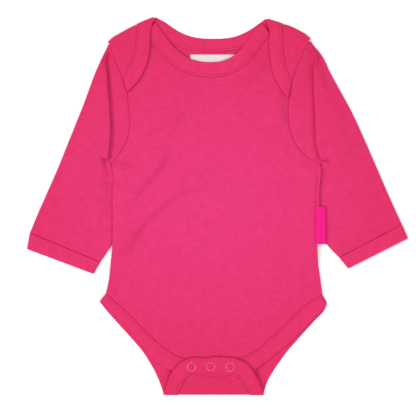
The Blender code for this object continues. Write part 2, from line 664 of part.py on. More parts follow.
def sleeve_fullness(from_outer, from_inner):
    """How far a sleeve's upper layer rises between its outer and inner edges."""
    return (SLEEVE_FULL * ramp(from_outer, 0, SLEEVE_SLOPE)
            * ramp(from_inner, PLEAT_CREST, PLEAT_CREST + SLEEVE_SLOPE))


def cap_section(outer, fold, arm, at_edge, at_arm, growth, swell):
    """One row over the armhole: lower layer, outer edge, upper layer, pleat, strip to the seam.

    at_edge is the upper layer's height at its outer edge and at the pleat."""
    ahead = unit(fold - outer)
    radius = (at_edge - BACK) / 2
    near = outer + ahead * (radius + WALL / 2)
    room = min(1.0, 0.5 * np.linalg.norm(fold - near) / PLEAT_FLAT[0])
    section = np.array(pleat_section(PLEAT_OVERLAP))
    slide, rise = ease(2 * growth - 1), min(1.0, 2 * growth)
    out = np.array(PLEAT_FLAT) * room * (1 - slide) + section[:, 0] * slide
    lifted = at_edge + section[:, 1] * rise
    shares = even(COLUMNS_SLEEVE)
    pleat = fold - ahead * out[:, None]
    upper = between(near, pleat[0], shares)
    away = np.linalg.norm(fold - upper, axis=1)
    width = max(away[0], 1.0)
    lift = (rise * ramp(away, PLEAT_OVERLAP + PLEAT_SETTLE, PLEAT_OVERLAP)
            + (1 - rise) * swell * pleat_swell(away))
    height = (at_edge + 2 * PITCH * lift * ramp(width - away, 0, FIRST_SLOPE)
              + sleeve_fullness(width - away, away))
    height[-1] = lifted[0]
    return np.vstack((
        at_height(between(arm, near, shares), BACK),
        bend(near, -ahead, BACK, radius, (0.75, 0.5, 0.25)),
        at_height(upper, height),
        at_height(pleat[1:], lifted[1:]),
        at_height(between(fold, arm, STRIP), at_edge + (at_arm - at_edge) * np.array(STRIP))))


def sleeve(side, finish, collection):
    """A flattened tube up to the underarm, and over the armhole an open cap with its pleat."""
    arm_share = armhole_fractions(side)
    arm_share[-1] = SHOULDER_END
    arm = curve(ARMHOLE[side], arm_share)
    arm += left_of(arm) * (1 if side == "right" else -1) * GAP
    level = fraction_at(SLEEVE_OUTER[side], UNDERARM_ROW[side])
    down = even(ROWS_SLEEVE)[::-1]
    outer = curve(SLEEVE_OUTER[side], np.concatenate((level + (1 - level) * down,
                                                      level * (1 - arm_share[1:]))))
    inner = curve(SLEEVE_INNER[side], down)
    fold = curve(PLEAT[side], arm_share)
    lap = np.concatenate([share * np.ones(count) for share, count in zip((0, 0.5, 1), LAP_POINTS)])
    at_arm = front_height(armhole(side)) + STEP * lap
    at_edge = SLEEVE_TOP + (LAP - SLEEVE_TOP) * ramp(arm_share, *CAP_RISE)
    growth = ramp(arm_share, *PLEAT_GROWS) * (1 - ramp(arm_share, *PLEAT_FADES))
    swell = 1 - ramp(arm_share, *SWELL_FADES)

    shares = even(COLUMNS_SLEEVE)
    sections = []
    for row, start in enumerate(outer[:ROWS_SLEEVE + 1]):
        width = np.linalg.norm(inner[row] - start)
        from_outer, from_inner = shares * width, (1 - shares) * width
        full = sleeve_fullness(from_outer, from_inner) * ramp(row, 0, FULL_ROWS)
        tail = ramp(np.linalg.norm(inner[row] - inner[-1]), PLEAT_TAIL, 0)
        swelled = 2 * PITCH * tail * pleat_swell(from_inner) * ramp(from_outer, 0, FIRST_SLOPE)
        sections.append(tube_section(start, inner[row], SLEEVE_TOP + full + swelled,
                                     BACK, WALL / 2, COLUMNS_SLEEVE, BENDS_SLEEVE))
    for row in range(1, len(arm)):
        sections.append(cap_section(outer[ROWS_SLEEVE + row], fold[row], arm[row],
                                    at_edge[row], at_arm[row], growth[row], swell[row]))
    grid = np.stack(sections)
    closing = grid[:ROWS_SLEEVE + 1][:, (-1, 0)]
    return cloth(f"sleeve_{side}", [grid, closing], WALL, finish, collection)


def cuff(side, finish, collection):
    """A folded rib tube on the end of a sleeve."""
    hem = np.array(CUFF_HEM[side])[[0, -1]]
    seam = held_off(np.array((SLEEVE_OUTER[side][-1], SLEEVE_INNER[side][-1])), hem)
    top = np.full(COLUMNS_CUFF + 1, CUFF_TOP)
    sections = []
    for share in even(ROWS_CUFF):
        outer, inner = seam + (hem - seam) * share
        sections.append(tube_section(outer, inner, top, BAND / 2, BAND / 2, COLUMNS_CUFF,
                                     BENDS_CUFF))
    grid = np.stack(sections)
    return cloth(f"cuff_{side}", [grid, grid[:, (-1, 0)]], BAND, finish, collection)


# ---------------------------------------------------------------- snaps and labels
def snap(index, finish, collection):
    """An open ring on the flap's band, and its mate between the two bands below it."""
    spot = SNAPS[index]
    place = np.array([spot.x, spot.y])
    band_top = flap_height(spot.y) + BAND_RISE + BAND / 2
    front_top = float(front_height(place)) + BAND_RISE + BAND / 2
    for name, height in (("ring", band_top + GAP + SNAP_WIRE),
                         ("mate", front_top + GAP + SNAP_MATE_THICK / 2)):
        centre = placed(np.array([spot.x, spot.y, height]))
        if name == "ring":
            bpy.ops.mesh.primitive_torus_add(
                major_segments=20, minor_segments=6, major_radius=SNAP_RADIUS * MM,
                minor_radius=SNAP_WIRE * MM, location=centre)
        else:
            bpy.ops.mesh.primitive_cylinder_add(
                vertices=20, radius=SNAP_MATE_RADIUS * MM, depth=SNAP_MATE_THICK * MM,
                location=centre)
        made = bpy.context.object
        made.name = made.data.name = f"snap_{name}_{index + 1}"
        made.data.materials.append(finish)
        for group in made.users_collection:
            group.objects.unlink(made)
        collection.objects.link(made)


def neck_label(finish, collection):
    """A plain woven label inside the back neck."""
    low, high = NECK_LABEL
    x, y = np.meshgrid(np.linspace(low.x, high.x, 5), np.linspace(low.y, high.y, 3))
    plan = np.stack((x, y), axis=-1)
    height = back_height(plan) + WALL / 2 + GAP + LABEL_THICK / 2
    return cloth("neck_label", [at_height(plan, height)], LABEL_THICK, finish, collection)


def side_tab(finish, collection):
    """A plain folded tab, sewn into the left side seam and hanging over the sleeve."""
    low, high = SIDE_TAB
    x, y = np.meshgrid(np.linspace(low.x, high.x, 9), np.linspace(low.y, high.y, 5))
    plan = np.stack((x, y), axis=-1)
    edge = side_x("left", y)
    on_body = np.stack((np.minimum(x, edge), y), axis=-1)
    height = front_height(on_body) + WALL / 2 + GAP + LABEL_THICK / 2
    height -= TAB_HANG * ramp(x - edge, -1, TAB_BEND - 1)
    return cloth("side_tab", [at_height(plan, height)], LABEL_THICK, finish, collection)


def main():
    for leftover in list(bpy.data.objects):
        bpy.data.objects.remove(leftover, do_unlink=True)
    bodysuit = bpy.data.collections.new("Bodysuit")
    bpy.context.scene.collection.children.link(bodysuit)
    jersey = material("Jersey", PINK, 0.9)
    rib = material("Rib", PINK_RIB, 0.92)
    back_panel(jersey, bodysuit)
    front_panel(jersey, bodysuit)
    for side in SIDES:
        sleeve(side, jersey, bodysuit)
        cuff(side, rib, bodysuit)
    front_neck_binding(rib, bodysuit)
    back_neck_binding(rib, bodysuit)
    front_leg_binding(rib, bodysuit)
    back_leg_binding(rib, bodysuit)
    metal = material("Snap", SNAP_METAL, 0.35, 0.8)
    for index in range(len(SNAPS)):
        snap(index, metal, bodysuit)
    neck_label(material("Label", OFF_WHITE, 0.8), bodysuit)
    side_tab(material("Tab", MAGENTA, 0.6), bodysuit)


if __name__ == "__main__":
    main()
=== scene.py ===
"""Looks of a long-sleeved baby bodysuit with an envelope neck, laid flat on its back.

Plan sizes are millimetres: x from the garment's centre line, with the wearer's left side at
+x, and y above its crotch fold. Heights are above the surface it lies on. Every piece of
cloth is a thin closed shell on a grid of points worked out from the cut below.
"""

import logging
import math
from dataclasses import dataclass, field
from enum import Enum
from typing import Callable, NamedTuple, Sequence

import bpy
import numpy as np
from bpy.types import Material, Node, NodeSocket, NodeTree, Object
from numpy.typing import NDArray
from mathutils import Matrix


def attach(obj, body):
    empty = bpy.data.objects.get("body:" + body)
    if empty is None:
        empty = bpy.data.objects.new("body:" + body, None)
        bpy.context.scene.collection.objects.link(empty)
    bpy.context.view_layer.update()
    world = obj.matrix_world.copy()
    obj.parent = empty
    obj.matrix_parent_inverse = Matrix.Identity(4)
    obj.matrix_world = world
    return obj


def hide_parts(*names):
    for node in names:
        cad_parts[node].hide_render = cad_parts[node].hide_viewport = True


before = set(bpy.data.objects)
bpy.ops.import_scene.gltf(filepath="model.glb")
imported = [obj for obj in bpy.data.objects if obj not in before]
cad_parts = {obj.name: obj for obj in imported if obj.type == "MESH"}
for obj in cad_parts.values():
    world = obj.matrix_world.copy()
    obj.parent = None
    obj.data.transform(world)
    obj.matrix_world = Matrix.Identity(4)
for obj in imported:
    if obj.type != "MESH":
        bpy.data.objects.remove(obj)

Array = NDArray[np.float64]
Numbers = NDArray[np.int64]
Pair = tuple[float, float]
LOG = logging.getLogger("bodysuit")
MM = 0.001
BODY = "root"
BOX_CENTRE = (5.69, 195.72)    # the garment's middle in plan, mm, which stands on the origin


# --- the cut, mm
class Side(Enum):
    """The wearer's sides: right is at -x, left at +x."""

    RIGHT = "right"
    LEFT = "left"

    @property
    def out(self) -> int:
        """Sign of x on this side."""
        return -1 if self is Side.RIGHT else 1


class Spot(NamedTuple):
    """A point in plan."""

    x: float
    y: float


class Crease(NamedTuple):
    """A soft straight trough, or a ridge where its depth is positive; heading in degrees."""

    x: float
    y: float
    heading: float
    length: float
    width: float
    depth: float


def creases(*rows: tuple[float, ...]) -> tuple[Crease, ...]:
    """Rows of six numbers as creases."""
    return tuple(Crease(*row) for row in rows)


def spots(*rows: Pair) -> tuple[Spot, ...]:
    """Rows of x and y as points."""
    return tuple(Spot(*row) for row in rows)


class Reach(NamedTuple):
    """Heights y between which something along the body starts, is full, and ends."""

    starts: float
    full: float
    ends: float
    gone: float


class Fold(NamedTuple):
    """A curved fold: a ridge where its depth is above 0, and a trough where it is below."""

    path: tuple[Spot, ...]
    width: float
    depth: float
    gentle: float = 1.0            # width of its left side over that of its right side


class SeamLine(NamedTuple):
    """A line of stitching that shows as a groove inside an edge."""

    inset: float
    width: float
    depth: float
    reach: Reach
    columns: tuple[float, ...]     # mm in from the edge, where the grid follows it


SIDE_SEAM = {          # underarm to the top of the leg
    Side.RIGHT: spots(
        (-106, 241.8), (-104.3, 235), (-102.1, 225.6), (-103.6, 217), (-104, 199),
        (-103.7, 180), (-104.8, 150), (-106, 139), (-108.3, 118), (-111, 105)),
    Side.LEFT: spots(
        (114, 240), (114.2, 233), (113.4, 225), (112.5, 216), (112, 199), (110.8, 177),
        (110.4, 150), (111, 139), (113.8, 118), (115.6, 103.5)),
}
ARMHOLE = {            # underarm to the shoulder; the 9th and 10th rows bound the lap's band
    Side.RIGHT: spots(
        (-106, 241.8), (-101, 246.5), (-95.5, 253), (-91, 260.4), (-88, 268), (-86.5, 277),
        (-86.2, 288), (-87.3, 300), (-89, 315.5), (-94.2, 330.5), (-99.2, 344), (-103.5, 354),
        (-107.7, 366.7)),
    Side.LEFT: spots(
        (114, 240), (108.5, 242.3), (102.5, 246), (92, 256), (86.5, 264), (82.3, 275),
        (80.3, 287), (79.9, 298), (80.4, 308.5), (83.6, 326.5), (87.5, 337.4), (92, 348.6),
        (101.9, 370.2)),
}
LAP_ROWS = (8, 9)      # those two rows
SHOULDER_EDGE = {      # outline of the shoulder, from the arm to the lap's band seam
    Side.RIGHT: spots(
        (-109.3, 368.6), (-104, 372.9), (-96, 377.6), (-85.6, 383.4), (-79.8, 386.9)),
    Side.LEFT: spots((103.4, 372.3), (97.7, 376.5), (92, 379.8), (82.4, 384.6), (74.6, 387.9)),
}
# Each row of a band's table is a cut across it: x and y of its free edge, and of its seam.
LAP_BAND = {           # armhole up to the shoulder roll
    Side.RIGHT: (
        (-89, 315.5, -94.2, 330.5), (-82.8, 321.5, -90.3, 338), (-77.5, 327.5, -86.6, 344),
        (-72.8, 335, -83.5, 350.5), (-69.4, 343, -81.6, 356), (-66.8, 353, -80.2, 363),
        (-65.3, 364, -79.4, 370), (-64.4, 381, -79, 378.6), (-60.8, 391.9, -78.6, 384.3)),
    Side.LEFT: (
        (80.4, 308.5, 83.6, 326.5), (74.8, 314.8, 81.2, 332), (70.2, 322, 79.2, 337),
        (66, 330.5, 77.3, 342.5), (63, 339, 76, 348.5), (60.9, 349.5, 75, 355.5),
        (59.9, 361, 74.4, 363.5), (60.2, 379.5, 73.8, 376.6), (57.6, 390.2, 73.5, 385)),
}
BACK_NECK = {          # shoulder roll to the centre
    Side.RIGHT: (
        (-60.8, 391.9, -78.6, 384.3), (-59.4, 393.9, -75.6, 382.4), (-57.4, 393.2, -72, 380.8),
        (-54.6, 391.6, -67, 379), (-49.6, 389, -58.5, 375.5), (-41.5, 383.2, -48.5, 370),
        (-31.2, 377.3, -36.5, 364), (-21, 373.7, -24, 360.2), (-10.5, 371.9, -12, 358.6),
        (0, 371.5, 0, 358.2)),
    Side.LEFT: (
        (57.6, 390.2, 73.5, 385), (56.5, 392.2, 70.6, 382.6), (54.6, 391.3, 67.4, 380.6),
        (52.4, 389.4, 63.2, 378.2), (48.6, 386.8, 57.5, 374.5), (41.2, 381.6, 48.5, 368.8),
        (31.7, 376.6, 37.5, 363.8), (21, 373, 24, 360), (10.5, 371.7, 12, 358.5),
        (0, 371.5, 0, 358.2)),
}
FRONT_NECK_EDGE = (    # free edge of the front neck's band, right shoulder to left
    Spot(-59.8, 388.8), Spot(-54.5, 381.5), Spot(-48.5, 373), Spot(-41, 364),
    Spot(-32.5, 356), Spot(-23, 350.4), Spot(-12, 347.3), Spot(0, 346.6),
    Spot(10.5, 347.8), Spot(20, 351.6), Spot(28.5, 358.5), Spot(35.5, 367),
    Spot(42, 376.5), Spot(48.3, 384), Spot(53.5, 387.8))
NECK_BAND_WIDTH = 15.4
FRONT_LEG = {          # side seam to the centre of the tail
    Side.RIGHT: (
        (-117, 96.8, -111, 105), (-108, 88, -102, 96.5), (-99.5, 80, -92.5, 88.5),
        (-91, 71.5, -83, 79.5), (-82, 61, -73.5, 69.5), (-73.5, 50.7, -64, 60),
        (-64.3, 39.5, -54.5, 51), (-53.2, 29.8, -44, 43.5), (-39.3, 22.5, -33.5, 37.8),
        (-22, 19.5, -20.5, 34.8), (0, 18.8, 0, 33.8)),
    Side.LEFT: (
        (120, 93, 115.6, 103.5), (113.2, 84.5, 105, 97.5), (105.2, 76.8, 95.5, 90.5),
        (97, 68.5, 86, 82), (87.6, 59.8, 76.5, 72.5), (78.5, 51.2, 67, 63.5),
        (68.5, 43, 58, 54.5), (57.8, 34.2, 48.5, 46.7), (45.8, 26, 39, 41.2),
        (31, 21.3, 27, 36.6), (15, 19, 13.5, 34.2), (0, 18.8, 0, 33.8)),
}
BACK_LEG = {           # side seam to the crotch fold
    Side.RIGHT: (
        (-117.8, 96.3, -111, 105), (-110, 86.5, -99.2, 96.5), (-100.8, 76, -89.7, 86),
        (-91.2, 65.5, -80.2, 75.6), (-81.8, 55, -70.6, 65.1), (-72.9, 44.5, -61.2, 54.1),
        (-66, 34, -53, 41.3), (-60, 23.6, -46.2, 29.1), (-55.2, 13, -40.6, 16.8),
        (-50.6, 0.6, -34.8, 0.6)),
    Side.LEFT: (
        (120.4, 95.2, 115.6, 103.5), (117.2, 86.8, 106.2, 96.9), (107.1, 76, 96.5, 86.8),
        (97.6, 65.6, 86.8, 76), (88.2, 55, 77.2, 65.2), (79, 44.6, 67, 53.8),
        (71.2, 34, 58.8, 42.4), (64, 23.6, 51, 30.5), (58, 13, 44.2, 18), (53.9, 0.6, 38.6, 0.6)),
}
FLAP = {               # the folded-up tail: crotch fold to the centre of its top edge
    Side.RIGHT: (
        (-50.6, 0.6, -34.8, 0.6), (-46.3, 11, -31, 9.5), (-43, 19.5, -28.6, 14),
        (-38.5, 26.5, -26, 17.5), (-33, 32, -23, 20), (-27, 35.6, -18, 21.1),
        (-18.5, 37.5, -12.5, 20.6), (-11, 37.3, -7.4, 19.6), (-5.3, 36.5, -3.4, 19),
        (0, 38.2, 0, 18.7)),
    Side.LEFT: (
        (53.9, 0.6, 38.6, 0.6), (50, 9.5, 35.2, 6.8), (46.5, 17, 32.2, 10.8),
        (42.5, 24.2, 29.5, 14.6), (38, 30, 26.5, 17.6), (32.5, 34, 22.4, 18.8),
        (25.5, 36.7, 17.5, 19.7), (13.5, 37.9, 9, 18.4), (6, 38.6, 4, 18.2), (0, 38.2, 0, 18.7)),
}
SLEEVE_OUTER = {       # outline, from the shoulder to the cuff seam
    Side.RIGHT: spots(
        (-107.7, 367.6), (-110.4, 361.9), (-113.3, 356.1), (-120.7, 340.3), (-133.2, 307),
        (-149.8, 265.5), (-162.5, 234), (-171.5, 213.5), (-181, 192), (-191, 168.2)),
    Side.LEFT: spots(
        (102.9, 370.4), (106.9, 364.4), (111.4, 359.2), (117.4, 350.5), (122.7, 339),
        (134, 318), (145.7, 296.6), (160.3, 265), (174, 233.6), (187.7, 202), (199.2, 177)),
}
UNDERARM_ROW = {Side.RIGHT: 5, Side.LEFT: 7}      # its row level with the underarm
SLEEVE_INNER = {       # outline, from the underarm to the cuff seam
    Side.RIGHT: spots(
        (-106.6, 240.9), (-103.4, 234), (-100.4, 226), (-99.2, 216), (-98.5, 203), (-97.8, 189),
        (-99.3, 174), (-103.2, 160), (-109.2, 149.4), (-117.2, 137.6)),
    Side.LEFT: spots(
        (114.5, 239.2), (113, 233), (111.4, 226), (109.6, 215), (108.2, 203), (107.6, 189),
        (110, 175), (114.6, 165), (123, 153.2), (133.4, 142.4)),
}
PLEAT = {              # the fold that lies along the armhole, underarm to shoulder
    Side.RIGHT: spots(
        (-106.6, 240.9), (-108.2, 248), (-107, 259.4), (-105.9, 273), (-106.4, 286),
        (-107.3, 302), (-108.9, 323), (-110.2, 340), (-107.4, 366.6)),
    Side.LEFT: spots(
        (114.5, 239.2), (112.6, 248), (109.2, 259), (108, 277), (107.3, 296), (106.5, 314),
        (106.1, 329), (105.4, 346), (102.6, 369.2)),
}
CUFF_HEM = {           # outer and inner end
    Side.RIGHT: spots((-193.9, 151.3), (-124.3, 125.2)),
    Side.LEFT: spots((205.5, 162.5), (142.8, 130.9)),
}
SIDE_REACH = {         # where each side of the body lies on the sleeve beside it
    Side.RIGHT: Reach(246, 234, 158, 140),
    Side.LEFT: Reach(244, 232, 152, 132),
}
FRONT_REACH = Reach(368, 336, 112, 62)          # where the front is full
SIDE_SEAM_REACH = Reach(238, 228, 114, 106)     # where its edges meet the back's
MATE_PROFILE = (       # radius and height round a snap's mate
    (0.4, 0.0), (4.0, 0.0), (4.4, 0.2), (4.4, 0.6), (4.1, 0.8), (2.9, 0.85), (2.7, 0.95),
    (0.4, 0.95))
SNAPS = spots((-21.5, 28.6), (-1.4, 28.8), (18.8, 28.0))

SEAM_LINE = SeamLine(inset=3.4, width=0.7, depth=0.9, reach=Reach(236, 228, 190, 176),
                     columns=(2.0, 2.5, 3.0, 3.5, 4.0, 4.5, 5.0))

STEEPEST = 0.7         # where a Gaussian is steepest, in its widths
FOLD_STRETCHES = 160   # how many stretches a fold's path is cut into
FOLD_EASE = 0.3        # share of a fold over which each of its ends dies out
FRONT_FOLDS = (
    Fold(spots((-99, 130), (-77, 169), (-56, 192), (-34, 208), (8, 220)), 4.6, 3.5, 4),
    Fold(spots((-92, 192), (-66, 222), (-52, 240), (-40, 260)), 4.6, 3.8, 4),
    Fold(spots((-78, 262), (-60, 275), (-42, 281), (-26, 284)), 4.8, 2.6, 3),
    Fold(spots((-76, 286), (-54, 300), (-28, 307), (-14, 306)), 5.0, 1.8, 3),
    Fold(spots((10, 320), (34, 327), (50, 337), (62, 352)), 7.0, 3.4, 3),
    Fold(spots((77, 274), (74, 300), (73, 326)), 4.0, 2.2, 3),
    Fold(spots((-110, 240), (-103, 227), (-92, 213)), 2.2, -2.2),
    Fold(spots((-112, 128), (-102, 112), (-90, 104)), 3.0, -1.4),
    Fold(spots((-20, 42), (-9, 41.2), (3, 38.6)), 1.5, -1.3),
)
LAP_CREASES = creases(
    (86.6, 357, 84, 36, 2.0, 0.7), (83.0, 358, 85, 30, 1.8, -0.4),
    (90.6, 352, 80, 26, 1.8, -0.4),
    (-92, 362, 60, 34, 5, 0.3), (-98, 352, 110, 22, 3.5, -0.25),
)
SLEEVE_CREASES = {
    Side.RIGHT: creases(
        (-122, 228, 62, 60, 7, -0.8), (-138, 238, 75, 70, 9, 0.5),
        (-112, 250, 100, 26, 3.5, -0.7), (-128, 176, 100, 56, 8, -0.6),
        (-160, 196, 66, 60, 9, -0.45), (-116, 196, 84, 60, 6, 0.45),
        (-146, 166, 160, 40, 6, 0.3), (-124, 306, 75, 60, 6, -0.35)),
    Side.LEFT: creases(
        (130, 226, 112, 64, 8, -0.8), (146, 236, 118, 70, 9, 0.45),
        (121, 247, 100, 28, 3.5, -0.8), (140, 182, 116, 56, 8, -0.5),
        (168, 200, 118, 60, 9, -0.4), (124, 200, 96, 52, 6, 0.45),
        (158, 170, 25, 40, 6, 0.3), (122, 312, 105, 60, 6, -0.35)),
}
FLAP_CREASES = creases(
    (21, 11.5, 20, 24, 1.6, -1.3), (14, 16, 8, 24, 1.6, -0.8),
    (18, 14, 14, 20, 1.5, 0.6), (-12, 8, 170, 24, 2.6, -0.7),
    (-2, 13, 5, 30, 2.4, 0.4), (-22, 10, 70, 14, 2.0, -0.6),
)
FLAP_FOLDS = (         # the cloth sinks beside the band's seam
    Fold(spots(
        (-31.5, 4), (-26.5, 13), (-20.5, 18.2), (-12.0, 18.8), (-3.0, 17.2), (4.0, 16.4),
        (17.0, 17.4), (24.5, 15.6), (33.5, 5)), 1.5, -1.4),
)


# --- curves
def ease(share: Array) -> Array:
    """Smooth step from 0 to 1: three times the square less twice the cube."""
    share = np.clip(share, 0.0, 1.0)
    return share * share * (3.0 - 2.0 * share)


def ramp(value: Array | float, start: float, end: float) -> Array:
    """Smooth step from 0 at the start value to 1 at the end value, either way round."""
    return ease((np.asarray(value, dtype=float) - start) / (end - start))


def lengths(vectors: Array) -> Array:
    """The vectors' lengths."""
    return np.linalg.norm(vectors, axis=-1)


def unit(vectors: Array) -> Array:
    """The vectors at length 1."""
    return vectors / np.linalg.norm(vectors, axis=-1, keepdims=True)


def run_along(points: Array) -> Array:
    """Length run at each point of a path."""
    return np.concatenate(([0.0], np.cumsum(lengths(np.diff(points, axis=0)))))


def run_across(grid: Array) -> Array:
    """Length run at each point of every row of a grid."""
    steps = lengths(np.diff(grid, axis=1))
    return np.concatenate((np.zeros((len(grid), 1)), np.cumsum(steps, axis=1)), axis=1)


def read_off(places: Array, run: Array, points: Array) -> Array:
    """Points at places along a run, on straight lines between those given."""
    return np.column_stack([np.interp(places, run, column) for column in points.T])


def even(count: int) -> Array:
    """Shares that cut a length into count equal stretches."""
    return np.linspace(0.0, 1.0, count + 1)


def around(count: int) -> Array:
    """Equal angles round a circle."""
    return np.linspace(0.0, 2 * np.pi, count, endpoint=False)


RIM = (0.10, 0.38, 0.85)       # mm in from an edge, where close rows follow its rounding
BESIDE_SEAM = (1.35, 1.75)     # and where more follow the dip beside an armhole seam


def close_rows(count: int, length: float, start: bool = False, end: bool = False) -> Array:
    """Even shares, with close rows beside a rounded edge.

    Args:
        count: Number of equal stretches.
        length: Their whole length, mm.
        start: Whether the start lies on a rounded edge.
        end: Whether the end does.

    Returns:
        Rising shares from 0 to 1.
    """
    shares = even(count)
    close = np.array(RIM) / length
    head = close if start else []
    tail = 1 - close[::-1] if end else []
    return np.concatenate((shares[:1], head, shares[1:-1], tail, shares[-1:]))


@dataclass(frozen=True)
class SmoothLine:
    """A smooth curve through the rows of a table: one cubic Hermite span between two rows."""

    rows: tuple
    points_a_row: int = 60

    def dense(self) -> tuple[Array, Array]:
        """Close points on the curve, and the share of its length run at each.

        Slopes at the rows are the finite differences over the chord lengths."""
        points = np.array(self.rows, dtype=float)
        knots = run_along(points)
        slopes = np.gradient(points, knots, axis=0)
        along = np.linspace(0.0, knots[-1], self.points_a_row * len(points))
        span = np.clip(np.searchsorted(knots, along, side="right") - 1, 0, len(knots) - 2)
        width = (knots[span + 1] - knots[span])[:, None]
        t = (along - knots[span])[:, None] / width
        line = ((2 * t**3 - 3 * t**2 + 1) * points[span]
                + (t**3 - 2 * t**2 + t) * width * slopes[span]
                + (3 * t**2 - 2 * t**3) * points[span + 1]
                + (t**3 - t**2) * width * slopes[span + 1])
        run = run_along(line)
        return line, run / run[-1]

    def at(self, shares: Array) -> Array:
        """Points at shares of the curve's length."""
        line, run = self.dense()
        return read_off(shares, run, line)

    def share_of(self, row: int) -> float:
        """Share of the length at which one of the rows lies."""
        line, run = self.dense()
        return float(run[np.argmin(lengths(line - np.array(self.rows[row])))])

    def length(self) -> float:
        """Length of the curve in the table's first two columns, mm."""
        line, _ = self.dense()
        return float(lengths(np.diff(line[:, :2], axis=0)).sum())


def left_of(points: Array) -> Array:
    """Unit normals on the left of a run of plan points."""
    ahead = unit(np.gradient(points, axis=0))
    return np.column_stack((-ahead[:, 1], ahead[:, 0]))


def run_share(first: Array, second: Array) -> Array:
    """Mean share of length run along two edges with the same number of points."""
    runs = run_along(first), run_along(second)
    return (runs[0] / runs[0][-1] + runs[1] / runs[1][-1]) / 2


def coons(bottom: Array, top: Array, left: Array, right: Array) -> Array:
    """Coons patch: the sum of two ruled surfaces less the bilinear one through the corners.

    Args:
        bottom: Points of the lower edge, left to right.
        top: Points of the upper edge, left to right.
        left: Points of the left edge, upwards.
        right: Points of the right edge, upwards.

    Returns:
        Plan points, rows by columns by 2.
    """
    u = run_share(bottom, top)[None, :, None]
    t = run_share(left, right)[:, None, None]
    ruled = (1 - t) * bottom[None] + t * top[None] + (1 - u) * left[:, None] + u * right[:, None]
    corners = ((1 - t) * ((1 - u) * bottom[0] + u * bottom[-1])
               + t * ((1 - u) * top[0] + u * top[-1]))
    return ruled - corners


def between(start: Array, end: Array, shares: Array) -> Array:
    """Points on straight lines from each start to its end, at shares of them."""
    return start[..., None, :] + (end - start)[..., None, :] * np.asarray(shares)[:, None]


def raised(plan: Array, height: Array | float) -> Array:
    """Plan points with a height each."""
    height = np.broadcast_to(height, plan.shape[:-1])
    return np.concatenate((plan, height[..., None]), axis=-1)


def joined(right: Array, left: Array) -> Array:
    """One run from the right end of a table to its left end."""
    return np.concatenate((right, left[::-1][1:]))


WAVES = 9              # how many plane waves make up a piece's unevenness
SHORTEST = 0.33        # shortest of their wavelengths over the longest


def unevenness(points: Array, seed: int, longest: float, height: float) -> Array:
    """Slight waves of cloth laid by hand: a sum of plane sine waves.

    Args:
        points: Plan points, or any array whose last axis starts with x and y.
        seed: Draws the directions, wavelengths and phases.
        longest: Longest wavelength, mm; the shortest is a third of it.
        height: Root mean square height, mm.

    Returns:
        A height for each point, mm.
    """
    draw = np.random.default_rng(seed)
    heading, phase = draw.uniform(0.0, 2 * np.pi, (2, WAVES))
    number = 2 * np.pi / (longest * draw.uniform(SHORTEST, 1.0, WAVES))
    x, y = points[..., 0, None], points[..., 1, None]
    waves = np.sin((x * np.cos(heading) + y * np.sin(heading)) * number + phase)
    return height * waves.sum(axis=-1) / math.sqrt(WAVES / 2)


def crease_height(points: Array, creases: tuple[Crease, ...]) -> Array:
    """Sum of straight troughs: a Gaussian across each, eased out to its ends."""
    height = np.zeros(points.shape[:-1])
    for crease in creases:
        heading = math.radians(crease.heading)
        x, y = points[..., 0] - crease.x, points[..., 1] - crease.y
        along = x * math.cos(heading) + y * math.sin(heading)
        across = y * math.cos(heading) - x * math.sin(heading)
        height += (crease.depth * np.exp(-(across / crease.width) ** 2)
                   * ramp(np.abs(along), crease.length / 2, 0))
    return height


def fold_height(points: Array, folds: tuple[Fold, ...]) -> Array:
    """Sum of curved folds, eased out to their ends.

    Across each, a Gaussian of the distance to its crest, which is gentle times as wide on the
    left of the path as on the right; the steepest part of the right slope is on the path.
    Where both sides are as wide, the crest is on the path.
    """
    height = np.zeros(points.shape[:-1])
    for fold in folds:
        line = SmoothLine(fold.path).at(even(FOLD_STRETCHES))
        heading = unit(np.gradient(line, axis=0))
        beside = points[..., None, :2] - line
        nearest = lengths(beside).argmin(axis=-1)
        beside = np.take_along_axis(beside, nearest[..., None, None], axis=-2)[..., 0, :]
        ahead = heading[nearest]
        right = beside[..., 0] * ahead[..., 1] - beside[..., 1] * ahead[..., 0]
        along = beside[..., 0] * ahead[..., 0] + beside[..., 1] * ahead[..., 1]
        across = right + (fold.width * STEEPEST if fold.gentle > 1 else 0.0)
        width = np.where(across > 0, fold.width, fold.width * fold.gentle)
        share = nearest / FOLD_STRETCHES
        height += (fold.depth * np.exp(-(across / width) ** 2 - (along / fold.width) ** 2)
                   * ramp(np.minimum(share, 1 - share), 0, FOLD_EASE))
    return height


